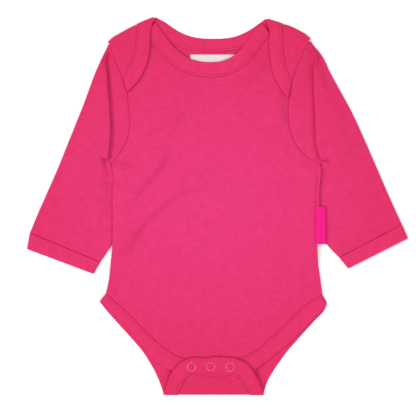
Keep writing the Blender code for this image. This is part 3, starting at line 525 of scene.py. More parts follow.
# --- how the layers lie
@dataclass(frozen=True)
class Layers:
    """Middle heights of the garment's layers, mm, and how they rise over one another."""

    wall: float = 1.1              # thickness of the knit
    band: float = 1.7              # thickness of a rib band, folded double
    gap: float = 0.35              # between pieces that only lie on one another
    seam_gap: float = 0.06         # between edges that are sewn together
    seam_dip: float = 0.7          # how far cloth sinks beside an armhole seam
    seam_dip_width: float = 1.3
    seam_dip_rise: Pair = (-2.0, 8.0)    # from the underarm up, where it grows
    clearance: float = 0.7         # between a band and the panel that lies on it
    pleat_pitch: float = 2.0       # between the layers of a sleeve's pleat
    edge_fall: float = 1.0         # how far a lap comes down to its shoulder fold
    edge_width: float = 7.0        # and over what width
    roll_past: float = 0.3         # how far a shoulder's roll stands out past its outline
    front_full: float = 1.8        # how far the front's middle stands over its edges
    front_edge: float = 14.0       # from its edge to where that rise starts
    front_slope: float = 42.0      # and over which it rises
    folds_in: Pair = (-2.0, 4.0)   # in from its edge, where folds grow
    folds_up: Pair = (30.0, 38.0)  # and heights y between which they do
    side_dip: float = 0.6          # how far the front's edges sink to the side seams
    side_dip_width: float = 8.0
    sleeve_top: float = 2.4        # middle height of a sleeve's upper layer at its edges
    sleeve_full: float = 1.5       # how far its middle stands over them
    sleeve_slope: float = 26.0
    cuff_top: float = 3.25         # middle height of a cuff's upper layer
    lift_flat: float = 8.0         # in from the body's side, where a sleeve lifts it fully
    lift_slope: float = 28.0       # and over which that lift dies out
    crotch_fold: float = 0.6       # height y of the crotch fold
    crotch_radius: float = 1.6
    flap_climb: float = 1.5        # how far the flap's top stands over the laps
    flap_rise: float = 19.0        # width over which it climbs there
    flap_creased: Pair = (1.0, 6.0)    # heights y between which creases grow

    @property
    def back(self) -> float:
        """Middle height of the back."""
        return self.wall / 2

    @property
    def step(self) -> float:
        """From one panel to the panel that lies over its bands."""
        return self.band + self.clearance

    @property
    def front(self) -> float:
        """Middle height of the front's edges."""
        return self.back + self.step

    @property
    def lap(self) -> float:
        """Middle height of the shoulder laps."""
        return self.front + self.step

    @property
    def band_rise(self) -> float:
        """A band's middle above that of the panel it is sewn to."""
        return (self.band - self.wall) / 2

    def band_top(self, height: float) -> float:
        """A band's upper face, from the middle height of the panel it is sewn to."""
        return height + self.band_rise + self.band / 2

    @staticmethod
    def side_x(side: Side, y: Array) -> Array:
        """The body's outline at a height y."""
        rows = np.array(SIDE_SEAM[side])[::-1]
        return np.interp(y, rows[:, 1], rows[:, 0])

    @staticmethod
    def reach_share(reach: Reach, y: Array) -> Array:
        """How fully something along the body is there, from 0 to 1."""
        return ramp(y, reach.starts, reach.full) * ramp(y, reach.gone, reach.ends)

    def side_lift(self, points: Array) -> Array:
        """How far the body is raised where its sides lie on the sleeves."""
        x, y = points[..., 0], points[..., 1]
        full = self.sleeve_top + self.wall / 2 + self.gap
        lift = np.zeros(x.shape)
        for side, reach in SIDE_REACH.items():
            depth = (self.side_x(side, y) - x) * side.out
            lift += (full * self.reach_share(reach, y)
                     * ramp(depth, self.lift_flat + self.lift_slope, self.lift_flat))
        return lift

    def front_height(self, points: Array) -> Array:
        """The front: over the back, full in the middle, down at the side seams, creased."""
        x, y = points[..., 0], points[..., 1]
        depth = np.minimum(x - self.side_x(Side.RIGHT, y), self.side_x(Side.LEFT, y) - x)
        inner = (ramp(depth, self.front_edge, self.front_edge + self.front_slope)
                 * self.reach_share(FRONT_REACH, y))
        at_seam = ramp(depth, self.side_dip_width, 0) * self.reach_share(SIDE_SEAM_REACH, y)
        seam = SEAM_LINE
        stitched = (self.reach_share(seam.reach, y)
                    * np.exp(-((self.side_x(Side.LEFT, y) - x - seam.inset) / seam.width) ** 2))
        lowest = self.back_height(points) + self.wall + self.seam_gap
        height = (self.front + self.side_lift(points) + inner * self.front_full
                  - self.side_dip * at_seam - seam.depth * stitched
                  + (fold_height(points, FRONT_FOLDS) * ramp(depth, *self.folds_in)
                     * ramp(y, *self.folds_up))
                  - self.armhole_dip(points)
                  + unevenness(points, seed=5, longest=70.0, height=0.08)
                  + unevenness(points, seed=6, longest=22.0, height=0.015))
        return np.maximum(lowest, height)

    def armhole_dip(self, points: Array) -> Array:
        """How far cloth sinks beside the armhole seams: a Gaussian of the distance to each."""
        x, y = points[..., 0], points[..., 1]
        dip = np.zeros(x.shape)
        for rows in ARMHOLE.values():
            line, _ = SmoothLine(rows).dense()
            aside = x - np.interp(y, line[:, 1], line[:, 0])
            lean = np.gradient(line[:, 0], line[:, 1])
            away = aside / np.sqrt(1 + np.interp(y, line[:, 1], lean) ** 2)
            dip += (self.seam_dip * np.exp(-(away / self.seam_dip_width) ** 2)
                    * ramp(y, *(line[0, 1] + rise for rise in self.seam_dip_rise)))
        return dip

    def back_height(self, points: Array) -> Array:
        """The back: flat but for the sides that lie on the sleeves."""
        return self.back + self.side_lift(points)

    def lap_height(self, points: Array) -> Array:
        """A shoulder lap, one step above the front."""
        return self.front_height(points) + self.step + crease_height(points, LAP_CREASES)

    @property
    def shoulder_radius(self) -> float:
        """Radius of the fold over each shoulder."""
        return (self.lap - self.edge_fall - self.back) / 2

    def at_shoulder(self, height: Array, away: Array) -> Array:
        """A lap's height, brought down to its shoulder fold over the last stretch."""
        level = self.lap + (height - self.lap) * ramp(away, 0, 3 * self.edge_width)
        return level - self.edge_fall * ramp(away, self.edge_width, 0)

    def flap_height(self, points: Array) -> Array:
        """The folded-up tail, climbing from its fold to the snaps."""
        start = self.back + 2 * self.crotch_radius
        top = self.lap + self.flap_climb
        climb = ramp(points[..., 1], self.crotch_fold, self.crotch_fold + self.flap_rise)
        return (start + (top - start) * climb
                + crease_height(points, FLAP_CREASES) * ramp(points[..., 1], *self.flap_creased)
                + fold_height(points, FLAP_FOLDS)
                + unevenness(points, seed=8, longest=26.0, height=0.07) * climb)


LAYERS = Layers()


@dataclass(frozen=True)
class Counts:
    """How many stretches each edge of the grids is cut into."""

    shoulder: int = 14
    neck: int = 72
    leg: int = 36
    tail: int = 28
    side: int = 70
    below_lap: int = 44
    across_lap: int = 9
    above_lap: int = 22
    turn: int = 10
    flap: int = 18
    sleeve: int = 58
    sleeve_width: int = 26


COUNTS = Counts()


@dataclass(frozen=True)
class Outline:
    """Plan curves that neighbouring pieces share."""

    @staticmethod
    def armhole_shares(side: Side) -> Array:
        """Shares of an armhole, closer at the underarm, with the lap's band bounded."""
        low, high = (SmoothLine(ARMHOLE[side]).share_of(row) for row in LAP_ROWS)
        return np.concatenate((low * even(COUNTS.below_lap) ** 1.25,
                               low + even(COUNTS.across_lap)[1:] * (high - low),
                               high + even(COUNTS.above_lap)[1:] * (1 - high)))

    @staticmethod
    def body_side(side: Side) -> Array:
        """From the top of the leg up the side seam and round the armhole to the shoulder."""
        seam_line = SmoothLine(SIDE_SEAM[side])
        seam = seam_line.at(close_rows(COUNTS.side, seam_line.length(), end=True))[::-1]
        arm_line = SmoothLine(ARMHOLE[side])
        shares = Outline.armhole_shares(side)
        close = 1 - np.array(RIM)[::-1] / arm_line.length()
        shares = np.concatenate((shares[:-1], close, shares[-1:]))
        return np.vstack((seam[:-1], arm_line.at(shares)))

    @staticmethod
    def shoulder_line(side: Side) -> Array:
        """Where the shoulder starts to roll, from the arm to the lap's band."""
        inset = LAYERS.shoulder_radius + LAYERS.wall / 2 - LAYERS.roll_past
        outline = SmoothLine(SHOULDER_EDGE[side])
        shares = close_rows(COUNTS.shoulder, outline.length(), start=True, end=True)
        points = outline.at(shares)
        line = points + left_of(points) * side.out * inset
        ends = np.array((ARMHOLE[side][-1], LAP_BAND[side][-1][2:])) - line[[0, -1]]
        pull = ramp(shares, 0.25, 0)[:, None] * ends[0] + ramp(shares, 0.75, 1)[:, None] * ends[1]
        return line + pull

    @staticmethod
    def outward(line: Array) -> Array:
        """Directions in which a shoulder line rolls over."""
        normal = left_of(line)
        return normal * np.sign(normal[:, 1:2])

    @staticmethod
    def rails(rows: tuple, shares: Array) -> tuple[Array, Array]:
        """Free edge and seam of a rib band, at the same sections."""
        both = SmoothLine(rows).at(shares)
        return both[:, :2], both[:, 2:]

    @staticmethod
    def front_neck(count: int) -> tuple[Array, Array]:
        """Free edge and seam of the front neck, right shoulder to left."""
        edge = SmoothLine(FRONT_NECK_EDGE).at(even(count))
        return edge, edge - left_of(edge) * NECK_BAND_WIDTH

    @staticmethod
    def both(table: dict, shares: Array) -> tuple[Array, Array]:
        """Rails of a band that meets itself on the centre line, right side to left."""
        right = Outline.rails(table[Side.RIGHT], shares)
        left = Outline.rails(table[Side.LEFT], shares)
        return joined(right[0], left[0]), joined(right[1], left[1])


# --- shells of cloth
@dataclass
class Patch:
    """A grid of points in space, mm, with where each lies on the flat cloth, mm."""

    points: Array
    cloth: Array
    folded: Array | None = None        # which points lie on a folded edge, if any do

    @classmethod
    def plan(cls, plan: Array, height: Array) -> "Patch":
        """A grid whose place on the cloth is its place in plan."""
        return cls(raised(plan, height), plan.copy())


WELD = 0.01                    # mm; points that round to the same multiples of it are one
WELD_OFFSET = 0.00337          # keeps round numbers off the limits between two multiples
AT_ONCE = 500                  # points whose distances are worked out together


@dataclass
class Shell:
    """A closed wall of cloth about one or more grids that are welded where they meet."""

    name: str
    patches: list[Patch]
    thickness: float
    sewn: float = 0.6              # rounding of a sewn edge, mm
    folded: float = 0.9            # rounding of a folded one

    def welded(self) -> tuple[Array, Numbers, Array, NDArray[np.bool_]]:
        """The grids as one surface.

        Returns:
            Points, four-cornered faces, each corner's place on the flat cloth, and which
            points lie on folded edges.
        """
        quads, start = [], 0
        for patch in self.patches:
            rows, columns = patch.points.shape[:2]
            index = start + np.arange(rows * columns).reshape(rows, columns)
            quads.append(np.stack((index[:-1, :-1], index[:-1, 1:], index[1:, 1:],
                                   index[1:, :-1]), axis=-1).reshape(-1, 4))
            start += rows * columns
        faces = np.concatenate(quads)
        points = np.concatenate([patch.points.reshape(-1, 3) for patch in self.patches])
        cloth = np.concatenate([patch.cloth.reshape(-1, 2) for patch in self.patches])
        cells = np.round((points + WELD_OFFSET) / WELD)
        _, first, welded = np.unique(cells, axis=0, return_index=True, return_inverse=True)
        soft = np.concatenate([np.zeros(patch.points[..., 0].size, dtype=bool)
                               if patch.folded is None else patch.folded.ravel()
                               for patch in self.patches])
        return points[first], welded.reshape(-1)[faces], cloth[faces], soft[first]

    @staticmethod
    def facing(corners: Array) -> Array:
        """Each face's normal times twice its area: the cross product of its diagonals."""
        return np.cross(corners[:, 2] - corners[:, 0], corners[:, 3] - corners[:, 1])

    @staticmethod
    def rim(faces: Numbers) -> Numbers:
        """Points of the edges that only one face uses."""
        edges = np.sort(np.stack((faces, np.roll(faces, -1, axis=1)), axis=-1), axis=-1)
        found, uses = np.unique(edges.reshape(-1, 2), axis=0, return_counts=True)
        return np.unique(found[uses == 1])

    def build(self) -> Object:
        """The shell's object.

        Both faces lie half a thickness from the grid along its normals. Within the rounding
        of an edge the half thickness is a quarter circle of the distance to that edge, so
        that both faces meet in a rounded rim."""
        points, faces, cloth, soft = self.welded()
        normals = np.zeros_like(points)
        facing = self.facing(points[faces])
        for corner in range(4):
            np.add.at(normals, faces[:, corner], facing)
        normals = unit(normals)
        rim = self.rim(faces)
        share = np.ones(len(points))
        for edge, rounding in ((rim[~soft[rim]], self.sewn), (rim[soft[rim]], self.folded)):
            if len(edge):
                parts = np.array_split(points, len(points) // AT_ONCE + 1)
                away = np.concatenate([lengths(part[:, None] - points[edge]).min(axis=1)
                                       for part in parts])
                share = np.minimum(share, away / rounding)
        share[rim] = 0.0
        half = (self.thickness / 2) * np.sqrt(1 - (1 - share) ** 2)
        below = len(points) + np.arange(len(points))
        below[rim] = rim
        walls = np.concatenate((points + normals * half[:, None],
                                points - normals * half[:, None]))
        walls[:, 2] = np.maximum(walls[:, 2], 0.0)
        loops = np.concatenate((faces, below[faces[:, ::-1]]))
        used, loops = np.unique(loops, return_inverse=True)
        made = mesh_object(self.name, placed(walls[used]), loops.reshape(-1, 4))
        layer = made.data.uv_layers.new(name="cloth")
        spots = np.concatenate((cloth, cloth[:, ::-1])) * MM
        layer.data.foreach_set("uv", spots.astype(np.float32).ravel())
        return made

    def area(self) -> float:
        """Area of the cloth's middle surface, square metres."""
        points, faces, _, _ = self.welded()
        return float(lengths(self.facing(points[faces])).sum() / 2) * MM * MM

    def cut(self) -> tuple[float, float]:
        """Width and length of the rectangle round the flat cloth, metres."""
        cloth = np.concatenate([patch.cloth.reshape(-1, 2) for patch in self.patches])
        width, length = np.ptp(cloth, axis=0) * MM
        return float(width), float(length)


def placed(points: Array) -> Array:
    """Garment millimetres to metres about the origin."""
    return (points - np.array([*BOX_CENTRE, 0.0])) * MM


def mesh_object(name: str, points: Array, faces: Numbers) -> Object:
    """A smooth-shaded mesh object at the origin, from points in metres and faces."""
    mesh = bpy.data.meshes.new(name)
    mesh.from_pydata(points.tolist(), [], faces.tolist())
    mesh.update()
    mesh.shade_smooth()
    made = bpy.data.objects.new(name, mesh)
    bpy.context.scene.collection.objects.link(made)
    return made


# --- finishes
def linear(code: str) -> tuple[float, float, float, float]:
    """An sRGB hex colour as linear red, green, blue and alpha."""
    values = [int(code[start:start + 2], 16) / 255 for start in (1, 3, 5)]
    return (*(v / 12.92 if v <= 0.04045 else ((v + 0.055) / 1.055) ** 2.4 for v in values), 1.0)


def plug(tree: NodeTree, node: Node, inputs: dict) -> None:
    """Links or constants on a node's inputs, by name or number."""
    for name, value in inputs.items():
        if isinstance(value, NodeSocket):
            tree.links.new(value, node.inputs[name])
        else:
            node.inputs[name].default_value = value


def add_node(tree: NodeTree, kind: str, links: dict | None = None, **settings: object) -> Node:
    """Adds a shader node.

    Args:
        tree: The material's node tree.
        kind: Blender's name for the node.
        links: Input name or number to the output socket or value that it takes.
        settings: Properties of the node.

    Returns:
        The node.
    """
    made = tree.nodes.new(kind)
    for name, value in settings.items():
        setattr(made, name, value)
    plug(tree, made, links or {})
    return made


def start_material(name: str) -> tuple[Material, NodeTree, Node]:
    """A new material, its node tree and its shader."""
    made = bpy.data.materials.new(name)
    made.use_nodes = True
    return made, made.node_tree, made.node_tree.nodes["Principled BSDF"]


def calculate(tree: NodeTree, operation: str, *values: NodeSocket | float,
              clamp: bool = False) -> NodeSocket:
    """The result of a Math node."""
    return add_node(tree, "ShaderNodeMath", dict(enumerate(values)), operation=operation,
                    use_clamp=clamp).outputs[0]


def blend(tree: NodeTree, share: NodeSocket, first: object, second: object,
          **settings: object) -> NodeSocket:
    """Two colours mixed by a share."""
    return add_node(tree, "ShaderNodeMix", {"Factor": share, 6: first, 7: second},
                    data_type="RGBA", **settings).outputs[2]


def bands(tree: NodeTree, vector: NodeSocket, period: float, direction: str,
          **inputs: float) -> NodeSocket:
    """Wavy bands across X or Y that repeat at a period in metres; more inputs by name."""
    inputs = {"Vector": vector, "Scale": math.pi / 10 / period, **inputs}
    return add_node(tree, "ShaderNodeTexWave", inputs, bands_direction=direction).outputs["Fac"]


def noise(tree: NodeTree, vector: NodeSocket, scale: float, **inputs: float) -> NodeSocket:
    """Noise with about scale blotches to the unit of the vector; more inputs by name."""
    inputs = {"Vector": vector, "Scale": scale, **inputs}
    return add_node(tree, "ShaderNodeTexNoise", inputs).outputs["Fac"]


@dataclass(frozen=True)
class KnitFinish:
    """Combed cotton knit, dyed in the piece: matt, with a short nap.

    Its wales and courses catch the light as fine bump, with painted shade in the hollows between
    the loops, and uneven yarn leaves faint flecks and a soft cloudiness. The colour is darkened
    with painted shade away from the garment's middle, towards the hems, as a painted falloff of
    the light."""

    name: str
    colour: str
    shade: str             # the deeper tone: painted shade between loops, and the yarn's own tone in the flecks
    hem: str               # tint of the painted shade that both turn to, far from the garment's middle
    wale: float            # spacing of the loops across the cloth, metres
    course: float          # spacing along it, metres
    relief: float          # depth of the loops, metres
    streak: float = 0.9            # weight of the flecks beside the cloudiness
    roughness: float = 0.86
    sheen: float = 0.22
    ribbed: float = 0.0            # how far the wales outweigh the courses
    flecks: tuple[float, float, float] = (150, 330, 1)    # across and along, to the metre
    clouds: float = 110.0          # to the metre
    nap: float = 2600.0            # tufts to the metre
    tones: Pair = (0.5, 1.4)       # sums that take the deeper and the full tone
    loop_painted_shade: float = 0.22    # how much of that the loops make up, as painted shade in their hollows
    painted_falloff_power: float = 1.4         # power of the distance in the painted shade's falloff towards the hems
    middle: tuple[float, float, float] = (-0.013, 0.002, 0.0)    # where the painted shade is lightest
    reach: tuple[float, float, float] = (0.235, 0.195, 1.0)      # to where the painted shade is deepest, metres

    def build(self) -> Material:
        """The material, on the piece's own flat cloth coordinates."""
        made, tree, shader = start_material(self.name)
        cloth = add_node(tree, "ShaderNodeUVMap", uv_map="cloth").outputs[0]
        yarns = {"Detail": 1.0, "Detail Scale": 0.6}
        wales = bands(tree, cloth, self.wale, "X", Distortion=1.2, **yarns)
        courses = bands(tree, cloth, self.course, "Y", Distortion=1.6, **yarns)
        crossed = calculate(tree, "MULTIPLY", wales, courses)
        loops = add_node(tree, "ShaderNodeMix",
                         {0: self.ribbed, 2: crossed, 3: wales}).outputs[0]
        yarn = add_node(tree, "ShaderNodeMapping", {"Vector": cloth, "Scale": self.flecks})
        streaks = noise(tree, yarn.outputs[0], 1.0, Detail=3.0, Roughness=0.6)
        cloud = noise(tree, cloth, self.clouds, Detail=4.0, Roughness=0.62)
        mixed = calculate(tree, "MULTIPLY_ADD", streaks, self.streak, cloud)
        tone = add_node(tree, "ShaderNodeMapRange", {
            "Value": mixed, "From Min": self.tones[0], "From Max": self.tones[1]}).outputs[0]
        # The loops darken the colour in their hollows as painted shade; the flecks and cloudiness
        # are the yarn's own uneven tone.
        deep = calculate(tree, "MULTIPLY_ADD", loops, self.loop_painted_shade, tone, clamp=True)
        dyed = blend(tree, deep, linear(self.shade), linear(self.colour))
        # Painted shade: the colour is multiplied by the hem tint with the distance from the
        # garment's middle, a painted falloff of the light towards the edges.
        place = add_node(tree, "ShaderNodeTexCoord").outputs["Object"]
        out = add_node(tree, "ShaderNodeMapping", {
            "Vector": place, "Location": self.middle, "Scale": self.reach},
            vector_type="TEXTURE")
        far = add_node(tree, "ShaderNodeVectorMath", {0: out.outputs[0]}, operation="LENGTH")
        painted_falloff = calculate(tree, "POWER", far.outputs["Value"], self.painted_falloff_power, clamp=True)
        falloff_shaded = blend(tree, painted_falloff, dyed, linear(self.hem), blend_type="MULTIPLY")
        bump = add_node(tree, "ShaderNodeBump", {
            "Height": loops, "Strength": 0.7, "Distance": self.relief}).outputs[0]
        fuzz = add_node(tree, "ShaderNodeBump", {
            "Height": noise(tree, cloth, self.nap, Detail=2.0), "Strength": 0.35,
            "Distance": self.relief, "Normal": bump}).outputs[0]
        plug(tree, shader, {
            "Base Color": falloff_shaded, "Normal": fuzz, "Roughness": self.roughness,
            "Specular IOR Level": 0.18, "Sheen Weight": self.sheen, "Sheen Roughness": 0.45,
            "Sheen Tint": linear(self.colour)})
        return made


@dataclass(frozen=True)
class PlainFinish:
    """A hard or smooth finish: enamelled brass, sewing thread, satin or woven tape.

    A fine weave or grain is bump on object coordinates; its spacing is in metres."""

    name: str
    colour: str
    shade: str
    grain: float
    relief: float
    roughness: float
    metallic: float = 0.0
    coat: float = 0.0
    gloss: float = 0.5
    clouds: float = 240.0          # to the metre

    def build(self) -> Material:
        """The material, on object coordinates."""
        made, tree, shader = start_material(self.name)
        place = add_node(tree, "ShaderNodeTexCoord").outputs["Object"]
        warp = bands(tree, place, self.grain, "X", Distortion=0.6)
        weft = bands(tree, place, self.grain, "Y", Distortion=0.6)
        weave = calculate(tree, "MAXIMUM", warp, weft)
        cloud = noise(tree, place, self.clouds, Detail=3.0)
        dyed = blend(tree, cloud, linear(self.shade), linear(self.colour))
        bump = add_node(tree, "ShaderNodeBump", {
            "Height": weave, "Strength": 0.6, "Distance": self.relief})
        plug(tree, shader, {
            "Base Color": dyed, "Normal": bump.outputs[0], "Roughness": self.roughness,
            "Metallic": self.metallic, "Specular IOR Level": self.gloss,
            "Coat Weight": self.coat})
        return made


# Soft matt body cloth with a fine grid of loops, drawn a little coarser than real interlock,
# whose loops are under 1 mm apart, so that they still show from a distance.
# Its hem tint is painted shade that darkens the cloth towards its edges.
JERSEY = KnitFinish("interlock_jersey", "#DB3778", "#CF2B64", hem="#F6D3CF", wale=0.0011,
                    course=0.0013, relief=0.00010)
# The same dye, and the same painted shade towards the edges, on bands whose upright ribs catch
# the light.
RIB = KnitFinish("rib_binding", "#DE3877", "#D02B64", hem="#F6D3CF", wale=0.0021,
                 course=0.0012, relief=0.00022, ribbed=0.75)
# Darker rows of stitches with a slight gloss.
THREAD = PlainFinish("polyester_thread", "#C82459", "#A81A47", grain=0.0003, relief=0.00003,
                     roughness=0.5)
# Hard smooth pink rings with a coat that gives small highlights.
ENAMEL = PlainFinish("enamelled_brass", "#E8749A", "#DC5C84", grain=0.0009, relief=0.000004,
                     roughness=0.28, metallic=0.35, coat=0.4)
# A pale plain patch at the neck.
TAPE = PlainFinish("woven_tape", "#DDD4D6", "#CFC5C8", grain=0.0007, relief=0.00005,
                   roughness=0.7, gloss=0.2)
# A bright smooth tab at the side.
RIBBON = PlainFinish("satin_ribbon", "#F01084", "#E40A78", grain=0.0006, relief=0.00003,
                     roughness=0.5, gloss=0.12)


Finish = KnitFinish | PlainFinish


@dataclass
class Wardrobe:
    """The finishes, each made once."""

    made: dict[str, Material] = field(default_factory=dict)

    def dress(self, piece: Object, finish: Finish) -> Object:
        """Gives a piece its material, and puts it on the garment's body."""
        if finish.name not in self.made:
            self.made[finish.name] = finish.build()
        piece.data.materials.append(self.made[finish.name])
        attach(piece, BODY)
        return piece


WARDROBE = Wardrobe()


MOST_AREA = 0.999              # of the rectangle that a sheet is cut from


def cloth_piece(shell: Shell, finish: Finish, nodes: list[str]) -> Object:
    """Builds and dresses one sheet of cloth, hides the CAD nodes it stands for, and logs its
    size.

    Args:
        shell: Its wall.
        finish: Its material.
        nodes: The CAD nodes it stands for.

    Returns:
        The piece.
    """
    piece = WARDROBE.dress(shell.build(), finish)
    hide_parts(*nodes)
    width, length = shell.cut()
    area = min(shell.area(), MOST_AREA * width * length)
    LOG.info("%s: %d faces, cut %.0f x %.0f mm, %.4f square metres", piece.name,
             len(piece.data.polygons), width / MM, length / MM, area)
    return piece


# --- stitches
@dataclass(frozen=True)
class StitchRow:
    """A row of stitches: bowed lengths of thread whose ends sink into the cloth."""

    stitch: float = 2.1            # length of each
    pitch: float = 2.9             # from one to the next
    thread: float = 0.21           # radius
    bow: float = 0.16              # height of the bow
    sink: float = 0.10             # how deep the ends go
    point: float = 0.03            # share of the length at which the ends stop narrowing
    sections: int = 7
    sides: int = 6

    def template(self) -> tuple[Array, Numbers]:
        """One stitch along +x on z = 0, closed by its pointed ends.

        A circle carried along a sine bow, with a radius of the square root of the sine."""
        t = np.linspace(0.0, 1.0, self.sections)
        angle = around(self.sides)
        inside = np.clip(t, self.point, 1 - self.point)
        radius = self.thread * np.sqrt(np.clip(np.sin(np.pi * inside), 0, 1))
        centre = (self.bow + self.sink) * np.sin(np.pi * t) - self.sink
        ring = np.stack((np.zeros_like(angle), np.cos(angle), np.sin(angle)), axis=-1)
        body = ring[None] * radius[:, None, None]
        body[..., 0] += ((t - 0.5) * self.stitch)[:, None]
        body[..., 2] += centre[:, None]
        index = np.arange(self.sections * self.sides).reshape(self.sections, self.sides)
        after = np.roll(index, -1, axis=1)
        sides = np.stack((index[:-1], after[:-1], after[1:], index[1:]), axis=-1)
        return body.reshape(-1, 3), sides.reshape(-1, 4)

    def along(self, name: str, path: Array, up: Array) -> Object:
        """Stitches at an even pitch along a path.

        Args:
            name: The object's name.
            path: Points on the cloth's face, mm.
            up: Its unit normals there.

        Returns:
            One mesh object of all the stitches.
        """
        run = run_along(path)
        places = np.arange(self.pitch, run[-1] - self.pitch / 2, self.pitch)
        spot = read_off(places, run, path)
        forward = unit(read_off(places + 0.5, run, path) - read_off(places - 0.5, run, path))
        normal = unit(read_off(places, run, up))
        aside = unit(np.cross(normal, forward))
        axes = np.stack((forward, aside, np.cross(forward, aside)), axis=1)
        body, faces = self.template()
        points = np.einsum("vk,nkd->nvd", body, axes) + spot[:, None]
        all_faces = faces[None] + (np.arange(len(spot)) * len(body))[:, None, None]
        caps = np.arange(self.sides)[None] + (np.arange(len(spot)) * len(body))[:, None]
        ends = caps + (self.sections - 1) * self.sides
        mesh = bpy.data.meshes.new(name)
        mesh.from_pydata(placed(points.reshape(-1, 3)).tolist(), [],
                         all_faces.reshape(-1, 4).tolist() + caps[:, ::-1].tolist()
                         + ends.tolist())
        mesh.update()
        mesh.shade_smooth()
        made = bpy.data.objects.new(name, mesh)
        bpy.context.scene.collection.objects.link(made)
        return WARDROBE.dress(made, THREAD)


# --- body panels
@dataclass(frozen=True)
class FrontPanel:
    """Neck to crotch in one piece, with shoulders that run under the laps."""

    def build(self) -> Object:
        """Coons patch between the leg seam, the sides and the shoulders and neck."""
        _, neck = Outline.front_neck(COUNTS.neck)
        shoulders, legs = {}, {}
        for side, end in ((Side.RIGHT, neck[0]), (Side.LEFT, neck[-1])):
            outer = np.array(ARMHOLE[side][-1])
            shares = self.rows(COUNTS.shoulder, float(np.linalg.norm(end - outer)), side)
            shoulders[side] = between(outer, end, shares)
            length = SmoothLine(FRONT_LEG[side]).length()
            shares = self.rows(COUNTS.leg + COUNTS.tail // 2, length, side)
            _, legs[side] = Outline.rails(FRONT_LEG[side], shares)
        bottom = joined(legs[Side.RIGHT], legs[Side.LEFT])
        top = np.vstack((shoulders[Side.RIGHT][:-1], neck, shoulders[Side.LEFT][::-1][1:]))
        plan = coons(bottom, top, *(Outline.body_side(side) for side in Side))
        shell = Shell("front_panel_knit", [Patch.plan(plan, LAYERS.front_height(plan))],
                      LAYERS.wall)
        return cloth_piece(shell, JERSEY, ["front_panel"])

    @staticmethod
    def rows(count: int, length: float, side: Side) -> Array:
        """Shares in from a side, closer beside its seam and its line of stitching."""
        more = BESIDE_SEAM + (SEAM_LINE.columns if side is Side.LEFT else ())
        shares = close_rows(count, length, start=True)
        return np.sort(np.concatenate((shares, np.array(more) / length)))


